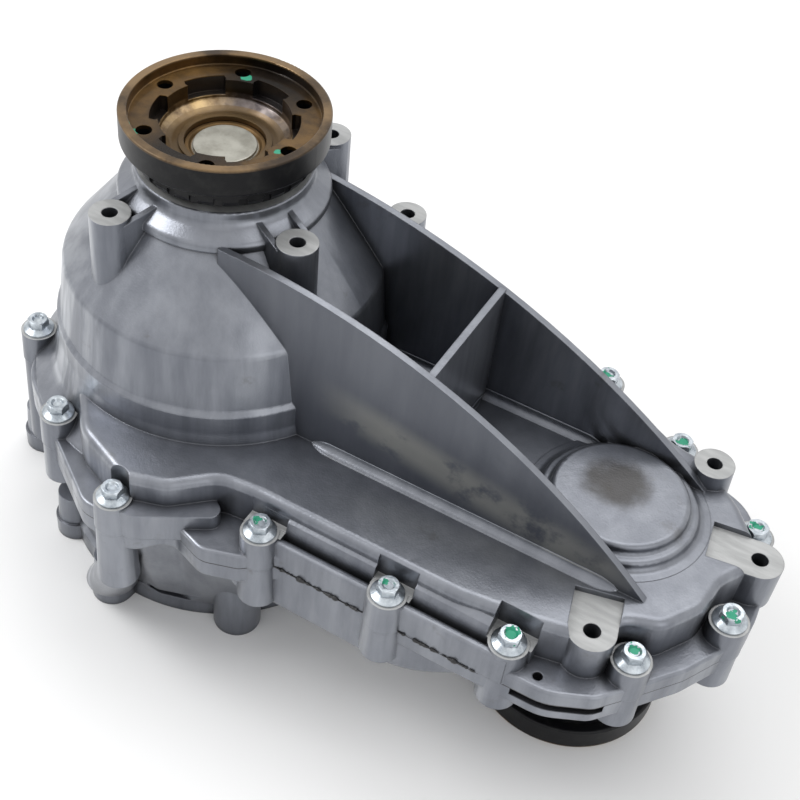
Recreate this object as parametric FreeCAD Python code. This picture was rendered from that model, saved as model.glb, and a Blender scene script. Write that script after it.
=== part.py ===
import FreeCAD, Part
import math
import os

from FreeCAD import Vector

# Single-speed transfer case with a planetary centre differential and a chain to the front output.
# Frame: millimetres, +Z along the main shaft towards the rear output, origin on the main axis at
# the face that bolts to the gearbox. +X points from the main shaft to the front output shaft.

os.makedirs("parts", exist_ok=True)

# ---------------------------------------------------------------- driving dimensions

SHAFT_DISTANCE = 250.0
OVERALL_HEIGHT = 301.0
WALL = 5.5
CLEARANCE = 0.05
SEALANT_THICKNESS = 0.5
JOINT_Z = round(0.382 * OVERALL_HEIGHT)
DECK_Z = JOINT_Z + 36.5
REAR_FLANGE_TOP_Z = JOINT_Z + 10.0
BOLT_SEAT_Z = JOINT_Z + 21.0
FRONT_FLANGE_THICKNESS = 12.0
HOUSING_FLOOR_Z = JOINT_Z - 37.0

# main dome of the rear case: radii and heights of its outer profile
NECK_RADIUS = 48.0
NECK_HEIGHT = 31.0
COLLAR_RADIUS = 57.5
COLLAR_Z = OVERALL_HEIGHT - 49.0
SHOULDER_RADIUS = 89.7
SHOULDER_Z = OVERALL_HEIGHT - 92.5
SHOULDER_ROUND = 7.0
BEAD_RADIUS = 93.4
BEAD_Z = DECK_Z + 20.5
DOME_FOOT_RADIUS = 95.6
SKIRT_RADIUS = 112.0

# case bolts (M8 flange bolts) and their columns, as (x, y, column's length below the joint)
BOLT_COLUMNS = [
    (-98.5, -51.5, 65.0),
    (-45.0, -99.5, 27.0),
    (18.0, -132.0, 45.0),
    (96.0, -108.0, 31.0),
    (172.0, -106.0, 25.0),
    (237.0, -98.5, 23.0),
    (292.5, -74.0, 23.0),
    (325.5, -24.0, 23.0),
    (318.0, 37.0, 23.0),
    (261.0, 74.5, 23.0),
    (205.0, 101.0, 25.0),
    (132.0, 112.0, 25.0),
    (52.0, 124.0, 25.0),
    (-20.0, 121.0, 27.0),
    (-79.0, 80.0, 27.0),
]
COLUMN_RADIUS = 10.6
COLUMN_DRAFT = 1.2
BOLT_RADIUS = 4.0
BOLT_LENGTH = 40.0
BOLT_TAP_RADIUS = 3.4
BOLT_CLEARANCE_RADIUS = 4.5
BOLT_WASHER_RADIUS = 9.1
BOLT_HEX_ACROSS_FLATS = 11.0
BOLT_HEAD_HEIGHT = 8.0

# long ribs over the deck
RIB_NEAR_Y = -51.0
RIB_FAR_Y = 36.0
RIB_THICKNESS = 4.0
RIB_START_X = 30.0
RIB_START_Z = OVERALL_HEIGHT - 45.0
RIB_MIDDLE_X = 196.0
RIB_NEAR_RISE = 0.608
RIB_FAR_RISE = 0.55
RIB_TIP_X = 286.0
CROSS_RIB_X = 150.0
CROSS_RIB_RISE = 0.742

# four threaded bosses round the neck and two single ones
SUPPORT_RADIUS = 69.0
SUPPORT_ANGLE = -24.0
SUPPORT_TOP_Z = OVERALL_HEIGHT - 40.0
SUPPORT_BOSS_RADIUS = 11.0
SUPPORT_GUSSET = 3.2
M10_TAP_RADIUS = 4.25
TAP_DEPTH = 22.0
SIDE_BOSS_X = 70.0
SIDE_BOSS_Y = 85.0
SIDE_BOSS_TOP_Z = DECK_Z + 59.5
END_BOSS_X = 284.0
END_BOSS_Y = 50.0
END_BOSS_TOP_Z = DECK_Z + 9.5
END_BOSS_TAP_DEPTH = 12.0

# two hanger ears at the front output end, as (x, y, reach back into the chain housing)
EAR_TOP_Z = DECK_Z - 3.5
EAR_RADIUS = 12.5
EAR_HOLE_RADIUS = 4.5
EAR_HOLE_DEPTH = 30.0
EARS = [(270.5, -78.0, 22.0), (326.0, 12.0, 27.0)]

# small blind hole in the joint flange beside the near ear
PLATEAU_HOLE = (256.0, -101.0)
PLATEAU_HOLE_RADIUS = 2.6

# front bearing boss on the deck
FRONT_BOSS_RADIUS = 36.4
FRONT_BOSS_TOP_Z = DECK_Z + 11.8

# face to the gearbox
ADAPTER_THICKNESS = 13.0
ADAPTER_RADIUS = 99.0
ADAPTER_BOSS_TOP_Z = 34.0
CORNER_COLUMN_RADIUS = 14.5
CORNER_COLUMN_TOP_Z = JOINT_Z - 27.0
ADAPTER_PILOT_RADIUS = 62.0
ADAPTER_PILOT_DEPTH = 8.0
ADAPTER_LOBE_RADIUS = 13.0
ADAPTER_HOLE_RADIUS = 5.1
ADAPTER_HOLE_DEPTH = 25.0
ADAPTER_BOLTS = [
    (-168.0, 131.0),
    (-130.0, 98.0),
    (-97.0, 104.0),
    (-51.0, 101.0),
    (-12.0, 101.0),
    (30.0, 101.0),
    (72.0, 101.0),
    (112.0, 101.0),
    (150.0, 101.0),
]
BELL_FOOT_RADIUS = 96.0
BELL_TOP_RADIUS = 106.0
HUB_TOP_Z = 50.0
HUB_WALL = 8.0

# output flanges: measured from the rim's top face towards the case
FLANGE_RADIUS = 55.0
FLANGE_PLATE = 16.0
FLANGE_PILOT_RADIUS = 50.0
FLANGE_PILOT_DEPTH = 6.0
FLANGE_BOLT_CIRCLE = 86.0
FLANGE_BOLT_COUNT = 6
FLANGE_BOLT_ANGLE = 51.5
BOWL_INNER_RADIUS = 34.5
BOWL_POCKET_RADIUS = 39.0
BOWL_OUTER_RADIUS = 41.0
BOWL_FLOOR_DEPTH = 21.0
BOWL_BOTTOM_DEPTH = 27.0
HUB_RADIUS = 25.0
HUB_END_DEPTH = 55.0
NUT_RECESS_RADIUS = 21.5
NUT_SEAT_DEPTH = 36.0
NUT_HEIGHT = 9.0
NUT_ACROSS_FLATS = 36.0
SHAFT_THREAD_RADIUS = 14.0
SPLINE_ROOT_RADIUS = 14.8
SPLINE_TIP_RADIUS = 16.4
SPLINE_TEETH = 28
SLINGER_RADIUS = 48.6
SLINGER_NOTCHES = 24
CAP_THICKNESS = 3.0
CAP_DEPTH = 22.0
CAP_DISC_RADIUS = 17.0

# ball bearings as (bore radius, outer radius, width, balls)
OUTPUT_BEARING = (20.0, 40.0, 18.0, 9)
INPUT_BEARING = (25.0, 45.0, 20.0, 10)
PILOT_BEARING = (15.0, 31.0, 16.0, 9)
INPUT_BEARING_Z = 24.0
PILOT_BEARING_Z = DECK_Z - 9.5
SNAP_RING_WIDTH = 2.0
SNAP_RING_DEPTH = 2.0
SEAL_BORE_RADIUS = 41.0
SEAL_WIDTH = 11.0
INPUT_SEAL_RADIUS = 38.0
INPUT_SHAFT_END_Z = 10.0

# centre differential
GEAR_MODULE = 2.0
SUN_TEETH = 30
PLANET_TEETH = 20
RING_TEETH = SUN_TEETH + 2 * PLANET_TEETH
PLANETS = 4
PRESSURE_ANGLE = math.radians(20.0)
BACKLASH = 0.3
GEAR_LOW_Z = OVERALL_HEIGHT - 137.0
GEAR_WIDTH = 22.0
CARRIER_PLATE = 5.0
WASHER_THICKNESS = 0.8
PLANET_PIN_RADIUS = 7.0
CARRIER_RADIUS = 64.0
RING_OUTER_RADIUS = 79.5
DRUM_DISC_RADIUS = 75.0
DRUM_DISC_THICKNESS = 8.0
STEM_RADIUS = 15.0
BUSH_WALL = 2.5
BUSH_LENGTH = 20.0
SUN_SHAFT_RADIUS = 22.0
SPROCKET_SEAT_RADIUS = 24.0
FRONT_NECK_RADIUS = 66.0

# chain drive
CHAIN_SPAN_PITCHES = 26
SPROCKET_TEETH = 36
CHAIN_LOW_Z = JOINT_Z - 13.0
CHAIN_WIDTH = 26.0
CHAIN_PLATE = 3.8
CHAIN_PIN_RADIUS = 2.0
CHAIN_LINK_RADIUS = 4.3
SPROCKET_GAP = 0.4
SPROCKET_TOOTH_DEPTH = 5.0

# plugs, breather, dowels, magnet
PLUG_RADIUS = 9.0
PLUG_HEAD_RADIUS = 13.0
PLUG_HEX_ACROSS_FLATS = 17.0
PLUG_LENGTH = 12.0
PLUG_HEAD_HEIGHT = 6.0
PLUG_WASHER_THICKNESS = 1.5
PLUG_SPOTS = {"fill_plug": (165.0, 119.0), "drain_plug": (92.0, 127.0)}
PLUG_BOSS_RADIUS = 14.0
PLUG_Z = JOINT_Z - 19.0
BREATHER_X = 150.0
BREATHER_Y = 78.0
BREATHER_RADIUS = 5.0
DOWEL_RADIUS = 5.0
DOWEL_LENGTH = 18.0
DOWEL_SPOTS = [(-100.0, 22.0), (205.0, -98.5)]
MAGNET_RADIUS = 11.0
MAGNET_HEIGHT = 5.0
MAGNET_X = 150.0
MAGNET_Y = -62.0
BAFFLE_THICKNESS = 1.5
BAFFLE_Z = HOUSING_FLOOR_Z + 16.0

# ---------------------------------------------------------------- sizes worked out from those above

REAR_CASE_Z = JOINT_Z + SEALANT_THICKNESS
NECK_TOP_Z = OVERALL_HEIGHT - NECK_HEIGHT
OUTPUT_BORE, OUTPUT_OUTER, OUTPUT_WIDTH, _ = OUTPUT_BEARING
INPUT_BORE, INPUT_OUTER, INPUT_WIDTH, _ = INPUT_BEARING
PILOT_BORE, PILOT_OUTER, PILOT_WIDTH, _ = PILOT_BEARING
HUB_END_Z = OVERALL_HEIGHT - HUB_END_DEPTH
REAR_BEARING_Z = HUB_END_Z - OUTPUT_WIDTH
GEAR_TOP_Z = GEAR_LOW_Z + GEAR_WIDTH
PLANET_CIRCLE = GEAR_MODULE * (SUN_TEETH + PLANET_TEETH) / 2
CARRIER_LOW_Z = GEAR_LOW_Z - WASHER_THICKNESS - CARRIER_PLATE
CARRIER_HIGH_Z = GEAR_TOP_Z + WASHER_THICKNESS
CARRIER_TOP_Z = CARRIER_HIGH_Z + CARRIER_PLATE
DRUM_DISC_Z = CARRIER_TOP_Z + 4.0
CHAIN_TOP_Z = CHAIN_LOW_Z + CHAIN_WIDTH
SUN_LOW_Z = CHAIN_LOW_Z - 6.0
CHAIN_PITCH = SHAFT_DISTANCE / CHAIN_SPAN_PITCHES
SPROCKET_PITCH_RADIUS = CHAIN_PITCH / (2 * math.sin(math.pi / SPROCKET_TEETH))
SPROCKET_TIP_RADIUS = (
    SPROCKET_PITCH_RADIUS * math.cos(math.pi / SPROCKET_TEETH) - CHAIN_LINK_RADIUS - SPROCKET_GAP
)
UP = Vector(0, 0, 1)

# ---------------------------------------------------------------- helpers


def disc(radius, z_low, z_high, x=0.0, y=0.0):
    """Upright cylinder between two heights."""
    return Part.makeCylinder(radius, z_high - z_low, Vector(x, y, z_low))


def cone(radius_low, radius_high, z_low, z_high, x=0.0, y=0.0):
    """Upright drafted cylinder."""
    return Part.makeCone(radius_low, radius_high, z_high - z_low, Vector(x, y, z_low))


def ring(outer, inner, z_low, z_high, x=0.0, y=0.0):
    """Upright tube."""
    return disc(outer, z_low, z_high, x, y).cut(disc(inner, z_low - 1, z_high + 1, x, y))


def box(x_low, x_high, y_low, y_high, z_low, z_high):
    """Block between two corners."""
    return Part.makeBox(x_high - x_low, y_high - y_low, z_high - z_low, Vector(x_low, y_low, z_low))


def rounded_wire(corners, place):
    """Closed wire through corners (a, b, radius), each rounded by a tangent arc of its radius."""
    points = [place(a, b) for a, b, _ in corners]
    count = len(points)
    edges = []
    starts = []
    ends = []
    for i in range(count):
        here = points[i]
        back = (points[i - 1] - here).normalize()
        ahead = (points[(i + 1) % count] - here).normalize()
        radius = corners[i][2]
        half = back.getAngle(ahead) / 2
        if radius <= 0:
            starts.append(here)
            ends.append(here)
            edges.append(None)
            continue
        reach = radius / math.tan(half)
        start = here + back * reach
        end = here + ahead * reach
        bisector = (back + ahead).normalize()
        middle = here + bisector * (radius / math.sin(half) - radius)
        starts.append(start)
        ends.append(end)
        edges.append(Part.Arc(start, middle, end).toShape())
    result = []
    for i in range(count):
        if edges[i]:
            result.append(edges[i])
        following = starts[(i + 1) % count]
        if ends[i].distanceToPoint(following) > 1e-6:
            result.append(Part.LineSegment(ends[i], following).toShape())
    return Part.Wire(Part.__sortEdges__(result))


def plan(corners):
    """Flat face at height 0 with rounded corners (x, y, radius)."""
    return Part.Face(rounded_wire(corners, lambda a, b: Vector(a, b, 0)))


def slab(face, z_low, z_high):
    """A flat face at height 0 raised to a block between two heights."""
    block = face.extrude(Vector(0, 0, z_high - z_low))
    block.translate(Vector(0, 0, z_low))
    return block


def turned(corners, x=0.0, y=0.0):
    """Solid of revolution about an upright axis; corners are (radius, height) or (radius, height, round)."""
    full = [(c[0], c[1], c[2] if len(c) > 2 else 0.0) for c in corners]
    wire = rounded_wire(full, lambda a, b: Vector(x + a, y, b))
    return Part.Face(wire).revolve(Vector(x, y, 0), UP, 360)


def round_edges_at(solid, z, radius):
    """Fillets every edge that lies flat at one height."""
    edges = [e for e in solid.Edges if abs(e.BoundBox.ZMin - z) < 1e-4 and abs(e.BoundBox.ZMax - z) < 1e-4]
    return solid.makeFillet(radius, edges)


def polar(radius, degrees, x=0.0, y=0.0):
    """Point on a circle, as (x, y)."""
    angle = math.radians(degrees)
    return x + radius * math.cos(angle), y + radius * math.sin(angle)


def hexagon(across_flats, z_low, z_high, x=0.0, y=0.0):
    """Hexagonal prism."""
    corner = across_flats / math.sqrt(3)
    points = [Vector(*polar(corner, 60 * i + 30, x, y), z_low) for i in range(6)]
    return Part.Face(Part.makePolygon(points + points[:1])).extrude(Vector(0, 0, z_high - z_low))


def fused(shapes):
    """Union of several solids, with the seams between coplanar faces removed."""
    return shapes[0].multiFuse(shapes[1:]).removeSplitter()


def moved(shape, x=0.0, y=0.0, z=0.0):
    """Copy of a shape, shifted."""
    copy = shape.copy()
    copy.translate(Vector(x, y, z))
    return copy


def turned_about(shape, degrees, x=0.0, y=0.0):
    """Copy of a shape, turned about an upright axis."""
    copy = shape.copy()
    copy.rotate(Vector(x, y, 0), UP, degrees)
    return copy


def save(name, shape):
    """Writes one piece, or one group of like pieces."""
    shape.exportStep("parts/" + name + ".step")


# ---------------------------------------------------------------- toothed outlines


def involute_angle(radius, base):
    """Angle swept by an involute from its base circle out to a radius."""
    if radius <= base:
        return 0.0
    pressure = math.acos(base / radius)
    return math.tan(pressure) - pressure


def gear_face(teeth, tip, root, thinning, phase):
    """Flat gear outline; thinning narrows every tooth, and a negative value widens it."""
    pitch = GEAR_MODULE * teeth / 2
    base = pitch * math.cos(PRESSURE_ANGLE)
    half_at_pitch = math.pi / (2 * teeth) - thinning / (2 * pitch)
    heights = [root, max(root, base), pitch, tip]
    points = []
    for tooth in range(teeth):
        centre = phase + 2 * math.pi * tooth / teeth
        flank = []
        for radius in heights:
            half = half_at_pitch + involute_angle(pitch, base) - involute_angle(radius, base)
            if not flank or radius > flank[-1][0] + 1e-6:
                flank.append((radius, half))
        points += [polar(r, math.degrees(centre - h)) for r, h in flank]
        points += [polar(r, math.degrees(centre + h)) for r, h in reversed(flank)]
    vectors = [Vector(a, b, 0) for a, b in points]
    return Part.Face(Part.makePolygon(vectors + vectors[:1]))


def gear(teeth, z_low, z_high, phase=0.0):
    """External gear blank with teeth."""
    pitch = GEAR_MODULE * teeth / 2
    face = gear_face(teeth, pitch + 0.9 * GEAR_MODULE, pitch - 1.25 * GEAR_MODULE, BACKLASH, phase)
    return slab(face, z_low, z_high)


def toothed_face(teeth, tip, root, grow=0.0):
    """Flat outline of straight-sided teeth, for splines and sprockets."""
    points = []
    for tooth in range(teeth):
        centre = 360.0 * tooth / teeth
        step = 360.0 / teeth
        points.append(polar(root + grow, centre - 0.36 * step))
        points.append(polar(tip + grow, centre - 0.18 * step))
        points.append(polar(tip + grow, centre + 0.18 * step))
        points.append(polar(root + grow, centre + 0.36 * step))
    vectors = [Vector(a, b, 0) for a, b in points]
    return Part.Face(Part.makePolygon(vectors + vectors[:1]))


def spline(z_low, z_high, grow=0.0, x=0.0):
    """Shaft spline that drives a flange or a plate; grow gives the matching hole."""
    face = toothed_face(SPLINE_TEETH, SPLINE_TIP_RADIUS, SPLINE_ROOT_RADIUS, grow)
    return moved(slab(face, z_low, z_high), x)


# ---------------------------------------------------------------- shared outlines


def front_end_corners():
    """Corners of the joint flange round the front output."""
    x = SHAFT_DISTANCE
    return [
        (x - 10, -108.5, 60),
        (x + 14, -108, 30),
        (x + 36, -97, 14),
        (x + 48, -82, 12),
        (x + 68, -56, 30),
        (x + 88, -18, 50),
        (x + 84, 28, 46),
        (x + 58, 66, 30),
        (x + 8, 84, 30),
        (205, 108, 40),
        (132, 118, 60),
    ]


def flange_web():
    """Joint flange between the bolt columns, as one flat face."""
    return plan(
        [
            (-112, -20, 60),
            (-88, -76, 40),
            (-40, -110, 22),
            (0, -137, 16),
            (32, -137, 12),
            (46, -120, 12),
            (72, -129, 14),
            (92, -122, 10),
            (106, -109.5, 12),
        ]
        + front_end_corners()
        + [
            (48, 130, 50),
            (-28, 128, 30),
            (-86, 88, 50),
            (-112, 30, 60),
        ]
    )


def housing_plan():
    """Lower half of the chain housing, outside the bell."""
    x = SHAFT_DISTANCE
    return plan(
        [
            (50, -40, 10),
            (76, -113, 14),
            (106, -109.5, 20),
            (188, -109.5, 60),
            (x - 14, -80, 60),
            (x + 46, -62, 40),
            (x + 82, 0, 50),
            (x + 52, 62, 40),
            (x - 10, 86, 30),
            (205, 104, 30),
            (132, 118, 60),
            (74, 124, 20),
            (50, 50, 10),
        ]
    )


def deck_plan():
    """Flat top of the chain housing."""
    x = SHAFT_DISTANCE
    return plan(
        [
            (-48, -76, 20),
            (-18, -113, 24),
            (22, -129, 12),
            (45, -121, 14),
            (66, -100.5, 18),
            (88, -98, 40),
            (205, -98, 60),
            (x - 11, -93, 30),
            (x + 16, -87, 12),
            (x + 27, -75, 10),
            (x + 33, -65, 12),
            (x + 50, -58, 14),
            (x + 63, -36, 16),
            (x + 65, -14, 20),
            (x + 74, 2, 14),
            (x + 71, 20, 16),
            (x + 55, 39, 24),
            (x + 30, 60, 26),
            (x + 8, 64, 20),
            (x - 42, 90, 40),
            (120, 102, 60),
            (44, 113, 40),
            (-34, 104, 30),
            (-60, 0, 20),
        ]
    )


def chamber_tools(z_low, z_high):
    """Room for the chain and both sprockets inside the cases."""
    x = SHAFT_DISTANCE
    face = plan(
        [
            (-84, -20, 60),
            (-58, -72, 40),
            (0, -90, 60),
            (x - 20, -86, 14),
            (x + 12, -59, 6),
            (x + 12, 56, 6),
            (x - 25, 80, 30),
            (0, 96, 60),
            (-58, 76, 40),
            (-84, 24, 60),
        ]
    )
    front = SPROCKET_PITCH_RADIUS + CHAIN_LINK_RADIUS + 2.0
    return [slab(face, z_low, z_high), disc(front, z_low, z_high, x)]


# ---------------------------------------------------------------- rear case


def dome():
    """Neck, cone, shoulder and foot of the main dome, over the differential."""
    return turned(
        [
            (0, REAR_CASE_Z),
            (SKIRT_RADIUS, REAR_CASE_Z),
            (SKIRT_RADIUS, REAR_FLANGE_TOP_Z, 3),
            (DOME_FOOT_RADIUS + 4, BOLT_SEAT_Z + 1, 12),
            (DOME_FOOT_RADIUS, DECK_Z + 7, 10),
            (DOME_FOOT_RADIUS, BEAD_Z - 1, 1.5),
            (BEAD_RADIUS, BEAD_Z + 2, 2),
            (SHOULDER_RADIUS, SHOULDER_Z, SHOULDER_ROUND),
            (COLLAR_RADIUS - 1.5, COLLAR_Z - 1.5),
            (COLLAR_RADIUS, COLLAR_Z, 1.2),
            (COLLAR_RADIUS, COLLAR_Z + 4, 4),
            (NECK_RADIUS, COLLAR_Z + 11, 6),
            (NECK_RADIUS, NECK_TOP_Z, 1),
            (0, NECK_TOP_Z),
        ]
    )


def dome_cavity():
    """Hollow of the main dome, up to the bearing housing inside the neck."""
    inner = BEAD_RADIUS - WALL
    shoulder = SHOULDER_RADIUS - WALL
    slope = (SHOULDER_Z - COLLAR_Z) / (SHOULDER_RADIUS - COLLAR_RADIUS)
    drop = WALL * math.sqrt(1 + slope * slope)
    neck = OUTPUT_OUTER + 10.0
    high = COLLAR_Z + slope * (neck + 7 - COLLAR_RADIUS) - drop
    low = SHOULDER_Z + slope * (shoulder - SHOULDER_RADIUS) - drop
    return turned(
        [
            (0, REAR_CASE_Z - 1),
            (inner, REAR_CASE_Z - 1),
            (inner, BEAD_Z - 3, 3),
            (shoulder, low, 4),
            (neck + 7, high, 2),
            (neck, high, 2),
            (neck, REAR_BEARING_Z - WALL),
            (0, REAR_BEARING_Z - WALL),
        ]
    )


def rib_height(rise):
    """Height of a rib's edge that rises by a share of the way from the deck to the ribs' start."""
    return DECK_Z + rise * (RIB_START_Z - DECK_Z)


def long_rib(y_low, y_high, middle_z):
    """One long rib: flat plate with an arched top that dies out on the deck."""
    start = Vector(RIB_START_X, y_low, RIB_START_Z)
    middle = Vector(RIB_MIDDLE_X, y_low, middle_z)
    tip = Vector(RIB_TIP_X, y_low, DECK_Z)
    corner_tip = Vector(RIB_TIP_X, y_low, DECK_Z - 3)
    corner_start = Vector(RIB_START_X, y_low, DECK_Z - 3)
    edges = [
        Part.Arc(start, middle, tip).toShape(),
        Part.LineSegment(tip, corner_tip).toShape(),
        Part.LineSegment(corner_tip, corner_start).toShape(),
        Part.LineSegment(corner_start, start).toShape(),
    ]
    return Part.Face(Part.Wire(edges)).extrude(Vector(0, y_high - y_low, 0))


def ribs():
    """Two long ribs and the cross rib between them."""
    near = long_rib(RIB_NEAR_Y, RIB_NEAR_Y + RIB_THICKNESS, rib_height(RIB_NEAR_RISE))
    far = long_rib(RIB_FAR_Y, RIB_FAR_Y + RIB_THICKNESS, rib_height(RIB_FAR_RISE))
    cross = box(
        CROSS_RIB_X,
        CROSS_RIB_X + RIB_THICKNESS,
        RIB_NEAR_Y + 1,
        RIB_FAR_Y + 1,
        DECK_Z - 3,
        rib_height(CROSS_RIB_RISE),
    )
    return [near, far, cross]


def support_bosses():
    """Threaded bosses round the neck, each tied to it by two gussets."""
    shapes = []
    for i in range(4):
        angle = SUPPORT_ANGLE + 90 * i
        x, y = polar(SUPPORT_RADIUS, angle)
        column = cone(
            SUPPORT_BOSS_RADIUS + 1, SUPPORT_BOSS_RADIUS, SHOULDER_Z - 6, SUPPORT_TOP_Z, x, y
        )
        shapes.append(column)
        for side in (-1, 1):
            offset = side * (SUPPORT_BOSS_RADIUS - SUPPORT_GUSSET / 2)
            plate = Part.Face(
                Part.makePolygon(
                    [
                        Vector(NECK_RADIUS - 4, offset, COLLAR_Z - 14),
                        Vector(SUPPORT_RADIUS, offset, SHOULDER_Z + 4),
                        Vector(SUPPORT_RADIUS, offset, SUPPORT_TOP_Z - 3),
                        Vector(NECK_RADIUS - 4, offset, COLLAR_Z + 12),
                        Vector(NECK_RADIUS - 4, offset, COLLAR_Z - 14),
                    ]
                )
            ).extrude(Vector(0, SUPPORT_GUSSET, 0))
            plate.translate(Vector(0, -SUPPORT_GUSSET / 2, 0))
            shapes.append(turned_about(plate, angle))
    return shapes


def single_bosses():
    """Threaded boss beside the far rib and the one at the front output end."""
    side = cone(
        SUPPORT_BOSS_RADIUS + 2, SUPPORT_BOSS_RADIUS, DECK_Z - 4, SIDE_BOSS_TOP_Z, SIDE_BOSS_X, SIDE_BOSS_Y
    )
    end = cone(
        SUPPORT_BOSS_RADIUS + 1.5,
        SUPPORT_BOSS_RADIUS,
        REAR_FLANGE_TOP_Z - 4,
        END_BOSS_TOP_Z,
        END_BOSS_X,
        END_BOSS_Y,
    )
    return [side, end]


def tapped_spots():
    """Centre, top and hole depth of every threaded boss, as (x, y, z, depth)."""
    spots = []
    for i in range(4):
        x, y = polar(SUPPORT_RADIUS, SUPPORT_ANGLE + 90 * i)
        spots.append((x, y, SUPPORT_TOP_Z, TAP_DEPTH))
    spots.append((SIDE_BOSS_X, SIDE_BOSS_Y, SIDE_BOSS_TOP_Z, TAP_DEPTH))
    spots.append((END_BOSS_X, END_BOSS_Y, END_BOSS_TOP_Z, END_BOSS_TAP_DEPTH))
    return spots


def ear_plan(x, y, reach):
    """Outline of a hanger ear: round nose, straight sides back into the chain housing."""
    outward = Vector(x - SHAFT_DISTANCE, y, 0).normalize()
    centre = Vector(x, y, 0)
    back = centre - outward * reach
    left = Vector(-outward.y, outward.x, 0) * EAR_RADIUS
    nose = centre + outward * EAR_RADIUS
    outline = [
        Part.LineSegment(back + left, centre + left).toShape(),
        Part.Arc(centre + left, nose, centre - left).toShape(),
        Part.LineSegment(centre - left, back - left).toShape(),
        Part.LineSegment(back - left, back + left).toShape(),
    ]
    return Part.Face(Part.Wire(outline))


def front_boss():
    """Stepped round boss over the bearing of the front output shaft."""
    top = FRONT_BOSS_RADIUS
    return turned(
        [
            (0, DECK_Z - 4),
            (top + 13, DECK_Z - 4),
            (top + 13, DECK_Z + 0.3),
            (top + 6.5, DECK_Z + 0.6, 4),
            (top + 5.7, DECK_Z + 5.8, 2.5),
            (top + 0.6, DECK_Z + 6.2, 2.2),
            (top, FRONT_BOSS_TOP_Z, 3),
            (0, FRONT_BOSS_TOP_Z),
        ],
        SHAFT_DISTANCE,
    )


def bolt_columns(z_seat, z_low):
    """Columns of the case bolts; z_low gives each column's foot."""
    shapes = []
    for x, y, foot in BOLT_COLUMNS:
        low = z_low if z_low is not None else JOINT_Z - foot
        draft = COLUMN_DRAFT * (z_seat - low) / BOLT_LENGTH
        shapes.append(cone(COLUMN_RADIUS + draft, COLUMN_RADIUS, low, z_seat, x, y))
    return shapes


def column_pads():
    """Flat-topped blocks that tie the straight run's bolt columns to the chain housing."""
    pads = []
    for x, y, _ in BOLT_COLUMNS[3:6]:
        pads.append(box(x - 11, x + 12, y + 1, y + 16, REAR_FLANGE_TOP_Z - 2, BOLT_SEAT_Z - 0.3))
    return pads


def straight_rim():
    """Raised rim of the joint flange along the straight run, and the sloping wall behind it."""
    x_low = BOLT_COLUMNS[3][0]
    x_high = BOLT_COLUMNS[5][0] + 4
    rim = box(x_low, x_high, -109.5, -104.0, REAR_CASE_Z, BOLT_SEAT_Z - 1.5)
    section = [
        (-92.0, REAR_CASE_Z),
        (-105.0, REAR_CASE_Z),
        (-105.0, BOLT_SEAT_Z - 6.0),
        (-102.6, BOLT_SEAT_Z - 5.0),
        (-100.0, DECK_Z - 9.0),
        (-96.0, DECK_Z - 6.5),
        (-92.0, DECK_Z - 6.5),
        (-92.0, REAR_CASE_Z),
    ]
    wall = Part.Face(Part.makePolygon([Vector(x_low - 4, y, z) for y, z in section]))
    return [round_long_edges(rim, 2.2), wall.extrude(Vector(x_high - x_low, 0, 0))]


def corner_web():
    """Flat web that ties the outermost bolt column to the chain housing."""
    x, y, _ = BOLT_COLUMNS[2]
    corners = [(x - 2, y - 8, 3), (x + 16, y - 5, 8), (x + 58, y + 22, 6)]
    corners += [(x + 40, y + 34, 4), (x, y + 24, 3)]
    face = plan(corners)
    return slab(face, REAR_CASE_Z, BOLT_SEAT_Z - 1.5)


def round_long_edges(block, radius):
    """Fillets the two long top edges of a block that runs along X."""
    top = block.BoundBox.ZMax
    long_edges = [
        e
        for e in block.Edges
        if e.BoundBox.XLength > 0.9 * block.BoundBox.XLength and e.BoundBox.ZMin > top - 0.01
    ]
    return block.makeFillet(radius, long_edges)


def head_pockets():
    """Room over each bolt seat for the head's washer; flat-backed over the straight run's pads."""
    high = DECK_Z + 20
    round_seats = BOLT_COLUMNS[:3] + BOLT_COLUMNS[6:]
    pockets = [disc(BOLT_WASHER_RADIUS + 0.2, BOLT_SEAT_Z, high, x, y) for x, y, _ in round_seats]
    for x, y, _ in BOLT_COLUMNS[3:6]:
        pockets.append(box(x - 11, x + 12, y - 12, y + 9.8, BOLT_SEAT_Z, high))
    return pockets


def bolt_holes(radius, z_low, z_high):
    """One cylinder for each case bolt."""
    return [disc(radius, z_low, z_high, x, y) for x, y, _ in BOLT_COLUMNS]


def dowel_holes():
    """Holes of the dowel pins, half in each case."""
    half = DOWEL_LENGTH / 2 + 0.5
    return [disc(DOWEL_RADIUS, JOINT_Z - half, JOINT_Z + half, x, y) for x, y in DOWEL_SPOTS]


def output_bores(x=0.0):
    """Bearing seat, snap ring groove and seal bore of an output, in the rear case's direction."""
    ring_z = REAR_BEARING_Z + OUTPUT_WIDTH
    return [
        disc(OUTPUT_OUTER - 4, REAR_BEARING_Z - WALL - 1, REAR_BEARING_Z, x),
        disc(OUTPUT_OUTER, REAR_BEARING_Z - 0.01, ring_z, x),
        disc(SEAL_BORE_RADIUS + SNAP_RING_DEPTH / 2, ring_z - 0.01, ring_z + SNAP_RING_WIDTH + 0.2, x),
        disc(SEAL_BORE_RADIUS, ring_z, NECK_TOP_Z + 1, x),
    ]


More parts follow.
